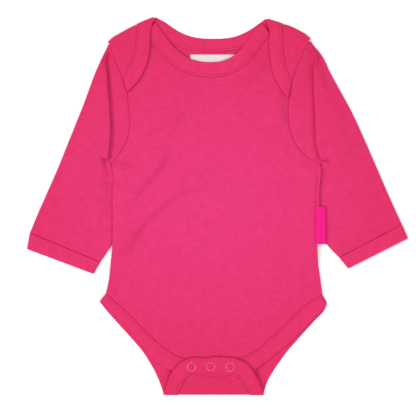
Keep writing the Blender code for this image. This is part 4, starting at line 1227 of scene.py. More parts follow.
@dataclass(frozen=True)
class BackPanel:
    """Neck to crotch, with the tail folded up in front and the shoulders lapped over."""

    lap_tip: float = 1.6           # width of a lap's pointed lower end

    def build(self) -> Object:
        """One shell: the back, the crotch roll and flap, and a roll and lap at each shoulder."""
        legs = {}
        for side in Side:
            length = SmoothLine(BACK_LEG[side]).length()
            legs[side] = Outline.rails(BACK_LEG[side],
                                       close_rows(COUNTS.leg, length, start=True))[1]
        ends = legs[Side.RIGHT][-1], legs[Side.LEFT][-1]
        width = float(np.linalg.norm(ends[1] - ends[0]))
        fold = between(*ends, close_rows(COUNTS.tail, width, start=True, end=True))
        bottom = np.vstack((legs[Side.RIGHT], fold[1:-1], legs[Side.LEFT][::-1]))
        _, neck = Outline.both(BACK_NECK, even(COUNTS.neck // 2))
        lines = {side: Outline.shoulder_line(side) for side in Side}
        top = np.vstack((lines[Side.RIGHT][:-1], neck, lines[Side.LEFT][::-1][1:]))
        plan = coons(bottom, top, *(Outline.body_side(side) for side in Side))
        patches = [Patch.plan(plan, LAYERS.back_height(plan))]
        patches += self.tail(fold)
        for side in Side:
            patches += self.lap(side, lines[side])
        shell = Shell("back_panel_knit", patches, LAYERS.wall)
        return cloth_piece(shell, JERSEY, ["back_panel"])

    @staticmethod
    def turned(line: Array, outward: Array, low: float, radius: float, reverse: bool) -> Patch:
        """Half a turn about a level line, from below to above: sine outwards, cosine up."""
        angle = np.pi * even(COUNTS.turn)[:, None]
        plan = line[None] + outward[None] * (radius * np.sin(angle))[..., None]
        height = np.broadcast_to(low + radius - radius * np.cos(angle), plan.shape[:2])
        cloth = line[None] + outward[None] * (radius * angle)[..., None]
        points = raised(plan, height)
        if reverse:
            return Patch(points[:, ::-1], cloth[:, ::-1])
        return Patch(points, cloth)

    def tail(self, fold: Array) -> list[Patch]:
        """The roll at the crotch, and the flap above it."""
        down = np.tile((0.0, -1.0), (len(fold), 1))
        radius = LAYERS.crotch_radius
        turn = self.turned(fold, down, LAYERS.back, radius, reverse=True)
        sides, tops = {}, {}
        for side in Side:
            line = SmoothLine(FLAP[side])
            middle = COUNTS.flap / (COUNTS.flap + COUNTS.tail / 2)
            close = np.array(RIM)[::-1] / line.length()
            shares = np.concatenate((even(COUNTS.flap)[:-1] * middle, middle - close, [middle],
                                     middle + close[::-1],
                                     middle + even(COUNTS.tail // 2)[1:] * (1 - middle)))
            _, seam = Outline.rails(FLAP[side], shares)
            corner = COUNTS.flap + len(RIM)
            sides[side], tops[side] = seam[:corner + 1], seam[corner:]
        plan = coons(fold, joined(tops[Side.RIGHT], tops[Side.LEFT]), sides[Side.RIGHT],
                     sides[Side.LEFT])
        cloth = plan * (1, -1) + (0, 2 * LAYERS.crotch_fold - np.pi * radius)
        points = raised(plan, LAYERS.flap_height(plan))
        return [turn, Patch(points[:, ::-1], cloth[:, ::-1])]

    def lap(self, side: Side, line: Array) -> list[Patch]:
        """The roll over a shoulder, and the lap that lies on the front below it."""
        radius = LAYERS.shoulder_radius
        turn = self.turned(line, Outline.outward(line), LAYERS.back, radius,
                           reverse=side is Side.LEFT)
        arm_line = SmoothLine(ARMHOLE[side])
        start = arm_line.share_of(LAP_ROWS[1])
        shares = close_rows(COUNTS.above_lap, arm_line.length() * (1 - start), start=True)
        arm = arm_line.at(start + shares * (1 - start))
        _, seam = Outline.rails(LAP_BAND[side], shares)
        seam[0] += unit(seam[1] - seam[0]) * self.lap_tip
        width = float(np.linalg.norm(seam[0] - arm[0]))
        columns = close_rows(COUNTS.shoulder, max(width, 3.0), start=True, end=True)
        plan = coons(between(arm[0], seam[0], columns), line, arm, seam)
        height = LAYERS.lap_height(plan)
        ends = LAYERS.at_shoulder(height, lengths(plan - line))
        cloth = plan * (1, -1) + (0, 2 * line[:, 1].mean() + np.pi * radius)
        points = raised(plan, ends)
        if side is Side.RIGHT:
            return [turn, Patch(points[::-1], cloth[::-1])]
        return [turn, Patch(points[::-1, ::-1], cloth[::-1, ::-1])]


# --- rib bands
@dataclass(frozen=True)
class Binding:
    """A rib strip folded double over an edge: a puffed band with one row of stitches."""

    name: str
    node: str
    rests_on: str
    columns: int = 17
    proud: float = 0.35            # how far its fold stands out past the cut's edge
    crown: float = 0.14            # how far it puffs up between seam and fold
    stitch_inset: float = 2.6      # from its seam to the stitches
    stitch_width: float = 0.7
    beside: float = 0.6            # from the stitches to the points on either side of them
    stitch_dip: float = 0.34       # how deep they pull the band in
    pucker: float = 0.06
    fall: float = 0.3              # how far its fold comes down
    fall_width: float = 3.0

    def build(self, seam: Array, edge: Array,
              relief: Callable[[Array], Array] | None = None) -> Object:
        """The band and its stitches, on straight lines from the seam to the folded edge.

        Args:
            seam: Points of the seam line, already moved off the panel.
            edge: Points of the folded edge, one for each.
            relief: Gives more height at points, mm.

        Returns:
            The band's object.
        """
        edge = edge + unit(edge - seam) * self.proud
        width = lengths(edge - seam)[:, None]
        even_shares = close_rows(self.columns, float(width.mean()), start=True, end=True)
        inset = self.stitch_inset / width
        shares = np.broadcast_to(even_shares, (len(width), len(even_shares)))
        beside = self.beside / width
        shares = np.sort(np.concatenate((shares, inset - beside, inset, inset + beside),
                                        axis=1), axis=1)
        middle = seam[:, None] + (edge - seam)[:, None] * shares[..., None]
        run = run_along((seam + edge) / 2)
        normal = self.normals(middle)
        spots = np.stack(np.broadcast_arrays(run[:, None], width * shares), axis=-1)
        puffed = self.puff(spots, shares)
        if relief is not None:
            puffed += relief(middle)
        upwards = normal * np.clip(3.0 * normal[..., 2:], -1.0, 1.0)
        middle = middle + upwards * puffed[..., None]
        folded = np.zeros(middle.shape[:2], dtype=bool)
        folded[:, -1] = True
        shell = Shell(self.name, [Patch(middle, spots, folded)], LAYERS.band)
        rows = np.arange(len(middle))
        column = np.argmin(np.abs(shares - inset), axis=1)
        up = upwards[rows, column]
        path = middle[rows, column] + up * (LAYERS.band / 2)
        stitches = self.stitched(path, up)
        return cloth_piece(shell, RIB, [self.node])

    def stitched(self, path: Array, up: Array) -> list[Object]:
        """A row of stitches on each stretch of the path that lies level."""
        level = lengths(up) > 0.999
        starts = np.flatnonzero(np.diff(level.astype(int), prepend=0) == 1)
        ends = np.flatnonzero(np.diff(level.astype(int), append=0) == -1) + 1
        return [StitchRow().along(f"{self.name}_stitches_{number}", path[start:end],
                                  up[start:end])
                for number, (start, end) in enumerate(zip(starts, ends), start=1)]

    def puff(self, spots: Array, shares: Array) -> Array:
        """Height of the band's puffed face over a flat one.

        A half sine across the band, times the crown and slight waves, less a Gaussian dip
        along the stitches and a parabola down to the fold."""
        arch = np.sin(np.pi * shares)
        dip = np.exp(-((spots[..., 1] - self.stitch_inset) / self.stitch_width) ** 2)
        waves = (unevenness(spots, seed=31, longest=13.0, height=self.pucker)
                 + unevenness(spots * (1.0, 0.15), seed=32, longest=5.0,
                              height=self.pucker * 0.5))
        away = spots[..., 1].max(axis=1, keepdims=True) - spots[..., 1]
        fall = self.fall * np.clip(1 - away / self.fall_width, 0.0, 1.0) ** 2
        return (self.crown + waves) * arch - self.stitch_dip * dip - fall

    @staticmethod
    def normals(grid: Array) -> Array:
        """Unit normals of a grid, on the side that faces up at its first section."""
        facing = unit(np.cross(np.gradient(grid, axis=0), np.gradient(grid, axis=1)))
        return facing * np.sign(facing[0, len(facing[0]) // 2, 2])


def held_off(seam: Array, edge: Array) -> Array:
    """A band's seam line, moved off the panel it is sewn to."""
    return seam + unit(edge - seam) * LAYERS.seam_gap


def on_front(edge: Array, seam: Array) -> list[Array]:
    """Seam and free edge of a band sewn to the front."""
    return [raised(rail, LAYERS.front_height(rail) + LAYERS.band_rise)
            for rail in (held_off(seam, edge), edge)]


def both_halves(half: Callable[[Side], Sequence[Array]]) -> list[Array]:
    """Seam and free edge of a band, from its halves on the two sides."""
    right, left = half(Side.RIGHT), half(Side.LEFT)
    return [joined(right[rail], left[rail]) for rail in (0, 1)]


@dataclass(frozen=True)
class NeckBindings:
    """The front neck's band, and the one round the back neck and down both laps."""

    front_count: int = 110
    lap_count: int = 52
    neck_count: int = 56

    def build(self) -> None:
        """Both bands, each on its own panel's height."""
        Binding("neck_binding_front_rib", "neck_binding_front", "front_panel_knit").build(
            *on_front(*Outline.front_neck(self.front_count)))
        Binding("neck_binding_back_rib", "neck_binding_back", "back_panel_knit").build(
            *both_halves(self.half))

    def half(self, side: Side) -> tuple[Array, Array]:
        """Seam and free edge from a lap's point, over the shoulder, to the centre back."""
        lap_edge, lap_seam = Outline.rails(LAP_BAND[side], even(self.lap_count))
        neck_edge, neck_seam = Outline.rails(BACK_NECK[side], even(self.neck_count))
        return (self.over_shoulder(side, held_off(lap_seam, lap_edge),
                                   held_off(neck_seam, neck_edge)),
                self.over_shoulder(side, lap_edge, neck_edge))

    @staticmethod
    def over_shoulder(side: Side, lap: Array, neck: Array) -> Array:
        """One rail: up the lap, half a turn over the shoulder, and along the back neck."""
        radius = LAYERS.shoulder_radius
        ends = np.array((LAP_BAND[side][-1][:2], LAP_BAND[side][-1][2:]))
        outward = Outline.outward(ends)[0]
        angle = np.pi * even(COUNTS.turn)[::-1]
        plan = lap[-1] + outward * (radius * np.sin(angle))[:, None]
        height = LAYERS.back + radius + LAYERS.band_rise - radius * np.cos(angle)
        on_lap = LAYERS.at_shoulder(LAYERS.lap_height(lap),
                                    lengths(lap - lap[-1]))
        return np.vstack((raised(lap, on_lap + LAYERS.band_rise)[:-1], raised(plan, height),
                          raised(neck, LAYERS.back_height(neck) + LAYERS.band_rise)[1:]))


@dataclass(frozen=True)
class LegBindings:
    """The front leg band round the front's tail, and the back one round the flap."""

    front_count: int = 110
    leg_count: int = 80
    flap_count: int = 84
    dome: float = 1.1              # height of the cloth inside each ring
    dome_radius: float = 2.1
    groove: float = 0.55           # how deep each ring is pressed in
    pucker: float = 0.32           # height of the puckers that spread from each ring
    puckers: int = 9               # how many, round each ring
    pucker_crest: float = 6.0      # how far out they are highest
    pucker_end: float = 11.0       # and where they end
    pucker_turn: float = 2.0       # by how much they differ from ring to ring, radians
    groove_width: float = 0.8
    flap_fall: float = 1.1         # how far the flap's edge comes down onto the front
    flap_fall_width: float = 4.0

    def build(self) -> None:
        """Both bands, each on its own panel's height."""
        Binding("leg_binding_front_rib", "leg_binding_front", "leg_binding_back_rib",
                columns=15).build(*on_front(*Outline.both(FRONT_LEG, even(self.front_count))))
        Binding("leg_binding_back_rib", "leg_binding_back", "floor", columns=30).build(
            *both_halves(self.half), relief=self.snapped)

    def snapped(self, points: Array) -> Array:
        """Height of the cloth round the snaps, on the flap only.

        Inside each ring a dome of a squared cosine, a Gaussian groove under the ring, and
        outside it puckers that are a cosine of the angle, dying away with the distance."""
        away = lengths(points - points[:, -1:])
        height = -self.flap_fall * np.clip(1 - away / self.flap_fall_width, 0.0, 1.0) ** 2
        for number, snap in enumerate(SNAPS):
            x, y = points[..., 0] - snap.x, points[..., 1] - snap.y
            away, angle = np.hypot(x, y), np.arctan2(y, x)
            dome = np.cos(np.clip(away / self.dome_radius, 0, 1) * np.pi / 2) ** 2
            ring = np.exp(-((away - Snap.ring_middle()) / self.groove_width) ** 2)
            out = (ramp(away, Snap.ring_radius, self.pucker_crest)
                   * ramp(away, self.pucker_end, self.pucker_crest))
            waves = np.cos(angle * self.puckers + number * self.pucker_turn) * out
            height += self.dome * dome - self.groove * ring + self.pucker * waves
        return height * (points[..., 2] > LAYERS.lap)

    def half(self, side: Side) -> list[Array]:
        """Seam and free edge from the side, over the crotch fold, to the flap's centre."""
        leg_edge, leg_seam = Outline.rails(BACK_LEG[side], even(self.leg_count))
        flap_edge, flap_seam = Outline.rails(FLAP[side], even(self.flap_count))
        radius = LAYERS.crotch_radius
        angle = np.pi * even(COUNTS.turn)
        rails = []
        for leg, flap in ((held_off(leg_seam, leg_edge), held_off(flap_seam, flap_edge)),
                          (leg_edge, flap_edge)):
            plan = leg[-1] - np.array((0.0, 1.0)) * (radius * np.sin(angle))[:, None]
            height = LAYERS.back + LAYERS.band_rise + radius - radius * np.cos(angle)
            rails.append(np.vstack((
                raised(leg, LAYERS.back_height(leg) + LAYERS.band_rise)[:-1],
                raised(plan, height),
                raised(flap, LAYERS.flap_height(flap) + LAYERS.band_rise)[1:])))
        return rails


# --- sleeves
@dataclass(frozen=True)
class Sleeve:
    """A flattened tube up to the underarm, and over the armhole an open cap with its pleat."""

    side: Side
    shoulder_end: float = 0.99     # how far up the armhole it reaches
    cap_rise: Pair = (0.58, 0.95)
    grows: Pair = (0.0, 0.05)      # where the pleat grows, fades again,
    fades: Pair = (0.72, 0.99)     # and leaves its swelling, as shares of
    swells: Pair = (0.3, 0.5)      # the armhole
    overlap: float = 4.0           # depth of the pleat
    settle: float = 42.0           # width over which the sleeve comes down from it
    crest: float = 6.0             # from the inner edge to where the dying pleat starts
    climb: float = 22.0            # width over which that rises,
    steep_climb: float = 5.0       # which is less by the underarm,
    steep_tail: float = 34.0       # for this far below it
    tail: float = 60.0             # how far below the underarm it reaches
    first_slope: float = 14.0      # width over which the upper layer leaves its outer edge
    flat: Pair = (5.6, 0.8)        # where the pleat lies before it is folded
    tuck: float = 0.8              # how far it dips where the body's side lies on it
    tuck_width: float = 3.0
    dip: float = 1.0               # how far the strip beside the pleat dips next to it
    dip_across: Pair = (5.5, 1.0)  # from the pleat's fold, where it grows
    dip_shares: Pair = (1.0, 0.5)  # and over which shares of the strip
    creased: tuple[float, float, float] = (1.0, 10.0, 8.0)    # in from an edge, where
    # creases start, and where they are full by the outer and by the inner one
    from_cuff: Pair = (16.0, 10.0)     # where fullness and creases are full
    most_room: float = 0.7         # of the upper layer's width that the pleat may take
    bend: int = 6                  # points round each fold
    strip: int = 14                # points from the pleat to the armhole
    close: tuple[float, ...] = (*RIM, 1.5, 2.4)    # how far from the armhole the last ones lie
    most_close: float = 0.3        # of a narrow strip that those may take
    far: Pair = (0.06, 0.66)       # and between which shares the others do

    def build(self) -> Object:
        """One grid of rows across the sleeve, and the strip that closes the tube below."""
        side = self.side
        arm_share = Outline.armhole_shares(side)
        arm_share[-1] = self.shoulder_end
        arm = SmoothLine(ARMHOLE[side]).at(arm_share)
        arm -= left_of(arm) * side.out * LAYERS.seam_gap
        outer_line = SmoothLine(SLEEVE_OUTER[side])
        level = outer_line.share_of(UNDERARM_ROW[side])
        inner_line = SmoothLine(SLEEVE_INNER[side])
        down = close_rows(COUNTS.sleeve, inner_line.length(), end=True)[::-1]
        outer_tube = outer_line.at(level + (1 - level) * down)
        inner = inner_line.at(down)
        outer_cap = outer_line.at(level * (1 - arm_share[1:]))
        tube = self.tube(outer_tube, inner)
        cap = self.cap(outer_cap, arm_share, arm)
        grid = np.concatenate((tube, cap))
        closing = grid[:len(tube)][:, (-1, 0)]
        run = np.concatenate((lengths(outer_tube - outer_tube[0]),
                              lengths(outer_cap - outer_tube[0])))
        cloth = np.stack(np.broadcast_arrays(run_across(grid), run[:, None]), axis=-1)
        shell = Shell(f"sleeve_{side.value}_knit",
                      [Patch(grid, cloth), Patch(closing, cloth[:len(tube)][:, (-1, 0)])],
                      LAYERS.wall)
        return cloth_piece(shell, JERSEY, [f"sleeve_{side.value}"])

    def swell(self, away: Array, below: Array | float) -> Array:
        """Share of a pleat's height left where it dies out, away from the inner edge."""
        steep = ramp(below, self.steep_tail, 0)
        climb = self.climb + (self.steep_climb - self.climb) * steep
        return (ramp((away - self.crest) / climb, 0, 1)
                * ramp(away, self.crest + self.settle, self.crest))

    def fullness(self, from_outer: Array, from_inner: Array) -> Array:
        """How far the upper layer rises between its outer and inner edges."""
        return (LAYERS.sleeve_full * ramp(from_outer, 0, LAYERS.sleeve_slope)
                * ramp(from_inner, self.crest, self.crest + LAYERS.sleeve_slope))

    def detail(self, plan: Array, from_outer: Array, from_inner: Array) -> Array:
        """Creases and slight waves, gone at the edges."""
        start, outer, inner = self.creased
        inside = ramp(from_outer, start, outer) * ramp(from_inner, start, inner)
        beside = (plan[..., 0] - LAYERS.side_x(self.side, plan[..., 1])) * self.side.out
        tucked = (np.exp(-(beside / self.tuck_width) ** 2)
                  * LAYERS.reach_share(SIDE_REACH[self.side], plan[..., 1]))
        return inside * (crease_height(plan, SLEEVE_CREASES[self.side])
                         - self.tuck * tucked
                         + unevenness(plan, seed=11 + self.side.out, longest=60.0, height=0.10)
                         + unevenness(plan, seed=15 + self.side.out, longest=20.0, height=0.035))

    @staticmethod
    def fold(centre: Array, ahead: Array, low: Array | float, radius: Array,
             turns: Array) -> Array:
        """Points round folded edges: turn 0 is on the upper layer, and 1 on the lower one."""
        angle = np.pi * turns
        reach = radius[:, None] * np.sin(angle)
        plan = centre[:, None] + ahead[:, None] * reach[..., None]
        return raised(plan, low + radius[:, None] * (1 + np.cos(angle)))

    def tube(self, outer: Array, inner: Array) -> Array:
        """Rows below the underarm: lower layer, outer edge, upper layer, inner edge."""
        shares = even(COUNTS.sleeve_width)
        ahead = unit(inner - outer)
        width = lengths(inner - outer)[:, None]
        radius = np.full(len(outer), (LAYERS.sleeve_top - LAYERS.back) / 2)
        near = outer + ahead * (radius[:, None] + LAYERS.wall / 2)
        far = inner - ahead * (radius[:, None] + LAYERS.wall / 2)
        from_outer, from_inner = shares * width, (1 - shares) * width
        below = lengths(inner - inner[-1])
        from_cuff = lengths(inner - inner[0])[:, None]
        upper = between(near, far, shares)
        full, creased = (ramp(from_cuff, 0, width) for width in self.from_cuff)
        top = (LAYERS.sleeve_top + self.fullness(from_outer, from_inner) * full
               + 2 * LAYERS.pleat_pitch * ramp(below, self.tail, 0)[:, None]
               * self.swell(from_inner, below[:, None])
               * ramp(from_outer, 0, self.first_slope)
               + self.detail(upper, from_outer, from_inner) * creased)
        turns = np.linspace(1, 0, self.bend + 1)[1:-1]
        inner_count = 2 * self.bend + 3 + self.strip
        back = np.linspace(0, 1, inner_count + 1)[1:-1]
        return np.concatenate((
            raised(between(far, near, shares), LAYERS.back),
            self.fold(near, -ahead, LAYERS.back, radius, turns),
            raised(upper, top),
            self.fold(far, ahead, LAYERS.back, radius, back)), axis=1)

    def pleat(self) -> Array:
        """Across a full pleat: distance out from its fold, and rise over the cloth below.

        Half a turn under at the fold, a flat overlap, and half a turn back."""
        half, edge = LAYERS.pleat_pitch / 2, LAYERS.wall / 2
        angle = np.pi * even(self.bend)
        first = np.stack((half + edge - half * np.sin(angle),
                          1.5 * LAYERS.pleat_pitch + half * np.cos(angle)), axis=-1)
        second = np.stack((half + edge + self.overlap + half * np.sin(angle),
                           half + half * np.cos(angle)), axis=-1)
        middle = (first[-1:] + second[:1]) / 2
        return np.concatenate((first, middle, second))

    def cap(self, outer: Array, arm_share: Array, arm: Array) -> Array:
        """Rows over the armhole: lower layer, outer edge, upper layer, pleat, strip."""
        shares = even(COUNTS.sleeve_width)
        arm_share, arm_all, arm = arm_share[1:], arm, arm[1:]
        fold = SmoothLine(PLEAT[self.side]).at(arm_share)
        lap = np.clip((np.arange(1, len(arm_all)) - COUNTS.below_lap) / COUNTS.across_lap, 0, 1)
        line = SmoothLine(ARMHOLE[self.side]).at(arm_share)
        at_arm = LAYERS.front_height(line) + LAYERS.armhole_dip(line) + LAYERS.step * lap
        at_edge = (LAYERS.sleeve_top
                   + (LAYERS.front - LAYERS.sleeve_top) * ramp(arm_share, *self.cap_rise))
        growth = ramp(arm_share, *self.grows) * ramp(arm_share, *self.fades[::-1])
        left = ramp(arm_share, *self.swells[::-1])
        ahead = unit(fold - outer)
        radius = (at_edge - LAYERS.back) / 2
        near = outer + ahead * (radius[:, None] + LAYERS.wall / 2)
        section = self.pleat()
        start = np.linspace(*self.flat, len(section))
        room = np.minimum(1.0, self.most_room * lengths(fold - near)
                          / section[:, 0].max())
        slide, rise = ease(2 * growth - 1)[:, None], np.minimum(1.0, 2 * growth)[:, None]
        out = (start * (1 - slide) + section[:, 0] * slide) * room[:, None]
        lifted = at_edge[:, None] + section[:, 1] * rise
        pleat = fold[:, None] - ahead[:, None] * out[..., None]
        upper = between(near, pleat[:, 0], shares)
        away = lengths(fold[:, None] - upper)
        width = np.maximum(away[:, :1], 1.0)
        lift = (rise * ramp(away, self.overlap + self.settle, self.overlap)
                + (1 - rise) * left[:, None] * self.swell(away, 0.0))
        height = (at_edge[:, None]
                  + 2 * LAYERS.pleat_pitch * lift * ramp((width - away) / self.first_slope, 0, 1)
                  + self.fullness(width - away, away)
                  + self.detail(upper, width - away, away))
        height[:, -1] = lifted[:, 0]
        turns = np.linspace(1, 0, self.bend + 1)[1:-1]
        strip_shares = self.strip_shares(lengths(arm - fold))
        on_strip = fold[:, None] + (arm - fold)[:, None] * strip_shares[..., None]
        beside = lengths(on_strip - fold[:, None])
        dip = (self.dip * growth[:, None] * ramp(beside, *self.dip_across)
               * ramp(strip_shares, *self.dip_shares))
        at_strip = (at_edge[:, None] + (at_arm - at_edge)[:, None] * strip_shares - dip
                    - LAYERS.armhole_dip(on_strip))
        return np.concatenate((
            raised(between(arm, near, shares), LAYERS.back),
            self.fold(near, -ahead, LAYERS.back, radius, turns),
            raised(upper, height),
            raised(pleat[:, 1:], lifted[:, 1:]),
            raised(on_strip, at_strip)), axis=1)

    def strip_shares(self, width: Array) -> Array:
        """Shares from the pleat to the armhole, with close columns beside its seam."""
        inset = np.array(self.close)[::-1]
        close = 1 - inset / np.maximum(width[:, None], inset.max() / self.most_close)
        even_part = np.linspace(*self.far, self.strip - len(inset) - 1)
        return np.concatenate((np.broadcast_to(even_part, (len(width), len(even_part))), close,
                               np.ones((len(width), 1))), axis=1)


@dataclass(frozen=True)
class Cuff:
    """A folded rib tube on the end of a sleeve."""

    side: Side
    rows: int = 16
    columns: int = 46
    bend: int = 8                  # points round each fold
    crown: float = 0.35            # how far it puffs up
    crown_rise: float = 3.0        # over this far in from its folds

    def build(self) -> Object:
        """Rows across the flattened tube: lower layer, outer edge, upper layer, inner edge."""
        side = self.side
        hem = np.array(CUFF_HEM[side])
        seam = held_off(np.array((SLEEVE_OUTER[side][-1], SLEEVE_INNER[side][-1])), hem)
        depth = float(np.linalg.norm(hem[0] - seam[0]))
        share = close_rows(self.rows, depth, start=True, end=True)[:, None]
        outer = seam[0] + (hem[0] - seam[0]) * share
        inner = seam[1] + (hem[1] - seam[1]) * share
        ahead = unit(inner - outer)
        low = LAYERS.band / 2
        radius = np.full(len(outer), (LAYERS.cuff_top - low) / 2)
        near = outer + ahead * (radius[:, None] + low)
        far = inner - ahead * (radius[:, None] + low)
        shares = even(self.columns)
        width = float(np.linalg.norm(inner[0] - outer[0]))
        spots = np.stack(np.broadcast_arrays(shares[None] * width, share * depth), axis=-1)
        puffed = (self.crown * np.sin(np.pi * share)
                  + unevenness(spots, seed=41, longest=16.0, height=0.08)
                  + unevenness(spots * (1.0, 0.2), seed=42, longest=6.0, height=0.04))
        puffed = puffed * ramp(np.minimum(shares, 1 - shares) * width, 0, self.crown_rise)
        grid = np.concatenate((
            raised(between(far, near, shares), low),
            Sleeve.fold(near, -ahead, low, radius, np.linspace(1, 0, self.bend + 1)[1:-1]),
            raised(between(near, far, shares), LAYERS.cuff_top + puffed),
            Sleeve.fold(far, ahead, low, radius, np.linspace(0, 1, self.bend + 1)[1:-1])),
            axis=1)
        grid = np.concatenate((grid, grid[:, :1]), axis=1)
        cloth = np.stack(np.broadcast_arrays(run_across(grid), share * depth), axis=-1)
        folded = np.zeros(grid.shape[:2], dtype=bool)
        folded[-1] = True
        shell = Shell(f"cuff_{side.value}_rib", [Patch(grid, cloth, folded)], LAYERS.band)
        return cloth_piece(shell, RIB, [f"cuff_{side.value}"])


# --- snaps and labels
@dataclass(frozen=True)
class Snap:
    """A fastened snap: an open prong ring on the flap, and its stud and socket below."""

    number: int
    spot: Spot
    ring_radius: float = 4.6
    ring_hole: float = 3.95
    ring_height: float = 0.5
    ring_sunk: float = 0.12        # how deep the ring lies in the band
    mate_gap: float = 0.35         # between the mate and the band below it
    segments: int = 56             # round the snap
    wire_segments: int = 14        # round the ring's wire

    @classmethod
    def ring_middle(cls) -> float:
        """Radius of the middle of the ring's wire."""
        return (cls.ring_radius + cls.ring_hole) / 2

    def lathe(self, name: str, profile: Array, height: float) -> Object:
        """A closed profile of radius and height, turned once about the snap's axis."""
        angle = around(self.segments)[:, None]
        x = self.spot.x + profile[None, :, 0] * np.cos(angle)
        y = self.spot.y + profile[None, :, 0] * np.sin(angle)
        z = np.broadcast_to(height + profile[None, :, 1], x.shape)
        index = np.arange(x.size).reshape(x.shape)
        ahead = np.roll(index, -1, axis=0)
        faces = np.stack((index, ahead, np.roll(ahead, -1, axis=1), np.roll(index, -1, axis=1)),
                         axis=-1).reshape(-1, 4)
        points = placed(np.stack((x, y, z), axis=-1).reshape(-1, 3))
        return mesh_object(name, points, faces)

    def build(self) -> None:
        """The ring is a flattened half round, and the mate a disc with a stepped rim."""
        place = np.array(self.spot, dtype=float)
        turn = around(self.wire_segments)
        wire = (self.ring_radius - self.ring_hole) / 2
        ring = np.stack((self.ring_middle() + wire * np.cos(turn),
                         self.ring_height / 2 * (1 + np.sin(turn))), axis=-1)
        above = LAYERS.band_top(float(LAYERS.flap_height(place))) - self.ring_sunk
        below = LAYERS.band_top(float(LAYERS.front_height(place))) + self.mate_gap
        for kind, profile, height in (("ring", ring, above),
                                      ("mate", np.array(MATE_PROFILE), below)):
            node = f"snap_{kind}_{self.number}"
            made = WARDROBE.dress(self.lathe(f"{node}_enamel", profile, height), ENAMEL)
            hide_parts(node)


@dataclass(frozen=True)
class Strip:
    """A small woven rectangle, close-gridded at its edges."""

    low: Spot
    high: Spot
    columns: int
    rows: int
    bow: float
    thickness: float = 0.8
    rounding: float = 0.35

    def grid(self) -> tuple[Array, Array, Array]:
        """Shares across and up, and its points in plan."""
        size = self.high.x - self.low.x, self.high.y - self.low.y
        across, up = (close_rows(count, length, start=True, end=True)
                      for count, length in zip((self.columns, self.rows), size))
        x, y = np.meshgrid(self.low.x + across * size[0], self.low.y + up * size[1])
        return across, up, np.stack((x, y), axis=-1)

    def rest(self, below: Array) -> Array:
        """Its middle height over the middle height of the knit below."""
        return below + LAYERS.wall / 2 + LAYERS.gap + self.thickness / 2

    def shell(self, name: str, plan: Array, height: Array) -> Shell:
        """Its wall."""
        return Shell(name, [Patch.plan(plan, height)], self.thickness, sewn=self.rounding)


class NeckLabel(Strip):
    """A plain woven label inside the back neck, sewn along its top."""

    def build(self) -> Object:
        """A flat grid that lies on the back, very slightly bowed."""
        across, _, plan = self.grid()
        height = self.rest(LAYERS.back_height(plan)) + self.bow * np.sin(np.pi * across)[None]
        return cloth_piece(self.shell("neck_label_tape", plan, height), TAPE,
                           ["neck_label"])


@dataclass(frozen=True)
class SideTab(Strip):
    """A plain folded ribbon in the left side seam, hanging over the sleeve."""

    hang: float = 2.2              # how far its free edge comes down
    bend: float = 9.0              # and over what width

    def build(self) -> Object:
        """A grid on the front's edge that comes down over the side seam."""
        _, up, plan = self.grid()
        x, y = plan[..., 0], plan[..., 1]
        edge = LAYERS.side_x(Side.LEFT, y)
        on_body = np.stack((np.minimum(x, edge), y), axis=-1)
        height = (self.rest(LAYERS.front_height(on_body))
                  - self.hang * ramp(x - edge, -1, self.bend - 1)
                  + self.bow * np.sin(np.pi * up)[:, None])
        return cloth_piece(self.shell("side_tab_ribbon", plan, height), RIBBON,
                           ["side_tab"])


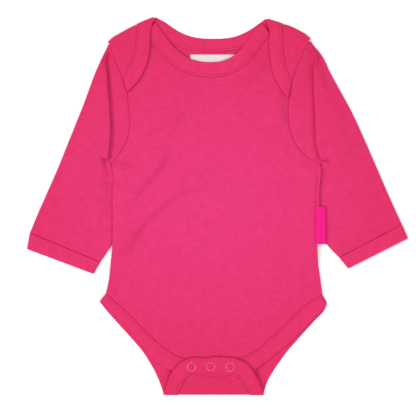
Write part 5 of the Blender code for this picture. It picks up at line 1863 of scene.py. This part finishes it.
# --- studio
@dataclass(frozen=True)
class Studio:
    """White floor, soft light from above with more from the left, and camera."""

    frame_width: float = 0.4361        # what the camera sees across, metres
    centre: Spot = Spot(-4.2, 194.25)  # garment millimetres in the middle of the view
    lens: float = 100.0
    sensor: float = 36.0
    stand: float = 2.5                 # height, mm, at which the frame width holds
    ambience: float = 0.27             # strength of the white all round
    half_floor: float = 3.0            # metres
    floor_drop: float = 0.00005        # metres below the garment

    def build(self) -> None:
        """Floor, lights, world and camera."""
        self.floor()
        self.light("left", (-1.15, 0.10, 1.0), 30.0, 1.35)
        self.light("right", (0.75, -0.30, 1.0), 30.0, 0.6)
        self.light("overhead", (0.0, -0.05, 1.0), 80.0, 1.72)
        world = bpy.data.worlds.new("studio")
        world.use_nodes = True
        background = world.node_tree.nodes["Background"]
        background.inputs["Color"].default_value = (1.0, 1.0, 1.0, 1.0)
        background.inputs["Strength"].default_value = self.ambience
        bpy.context.scene.world = world
        bpy.context.scene.view_settings.view_transform = "Standard"
        self.camera()

    def floor(self) -> None:
        """A large sheet of matt white card, a hair below the garment."""
        corners = self.half_floor * np.array(((-1, -1), (1, -1), (1, 1), (-1, 1)))
        made = mesh_object("floor", raised(corners, -self.floor_drop), np.array([[0, 1, 2, 3]]))
        card, tree, shader = start_material("matt_white_card")
        plug(tree, shader, {"Base Color": linear("#F7F7F7"), "Roughness": 0.95,
                            "Specular IOR Level": 0.05})
        made.data.materials.append(card)

    @staticmethod
    def light(name: str, place: tuple[float, float, float], spread: float,
              power: float) -> None:
        """A softbox so far away that its light is even over the garment.

        Args:
            name: Its name.
            place: The direction it stands in.
            spread: How wide it looks from the garment, degrees.
            power: Its strength, watts per square metre.
        """
        data = bpy.data.lights.new(name, "SUN")
        data.angle = math.radians(spread)
        data.energy = power
        made = bpy.data.objects.new(name, data)
        made.location = place
        made.rotation_euler = (-made.location).to_track_quat("-Z", "Y").to_euler()
        bpy.context.scene.collection.objects.link(made)

    def camera(self) -> None:
        """Straight down, with the garment's neck at the top of the view."""
        data = bpy.data.cameras.new("camera")
        data.lens = self.lens
        data.sensor_width = self.sensor
        made = bpy.data.objects.new("camera", data)
        place = placed(np.array((*self.centre, self.stand)))
        distance = self.frame_width / self.sensor * self.lens
        made.location = (place[0], place[1], place[2] + distance)
        bpy.context.scene.collection.objects.link(made)
        bpy.context.scene.camera = made


def main() -> None:
    """Builds every piece in order; each sheet of cloth logs its size as it is made."""
    logging.basicConfig(level=logging.INFO, format="%(name)s: %(message)s")
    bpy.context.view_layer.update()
    Studio().build()
    BackPanel().build()
    FrontPanel().build()
    for side in Side:
        Sleeve(side).build()
        Cuff(side).build()
    NeckBindings().build()
    LegBindings().build()
    for number, spot in enumerate(SNAPS, start=1):
        Snap(number, spot).build()
    NeckLabel(Spot(-22.8, 336.0), Spot(24.2, 355.2), columns=26, rows=12, bow=0.12).build()
    SideTab(Spot(107.6, 156.4), Spot(119.6, 196.0), columns=16, rows=30, bow=0.10).build()


if __name__ == "__main__":
    main()
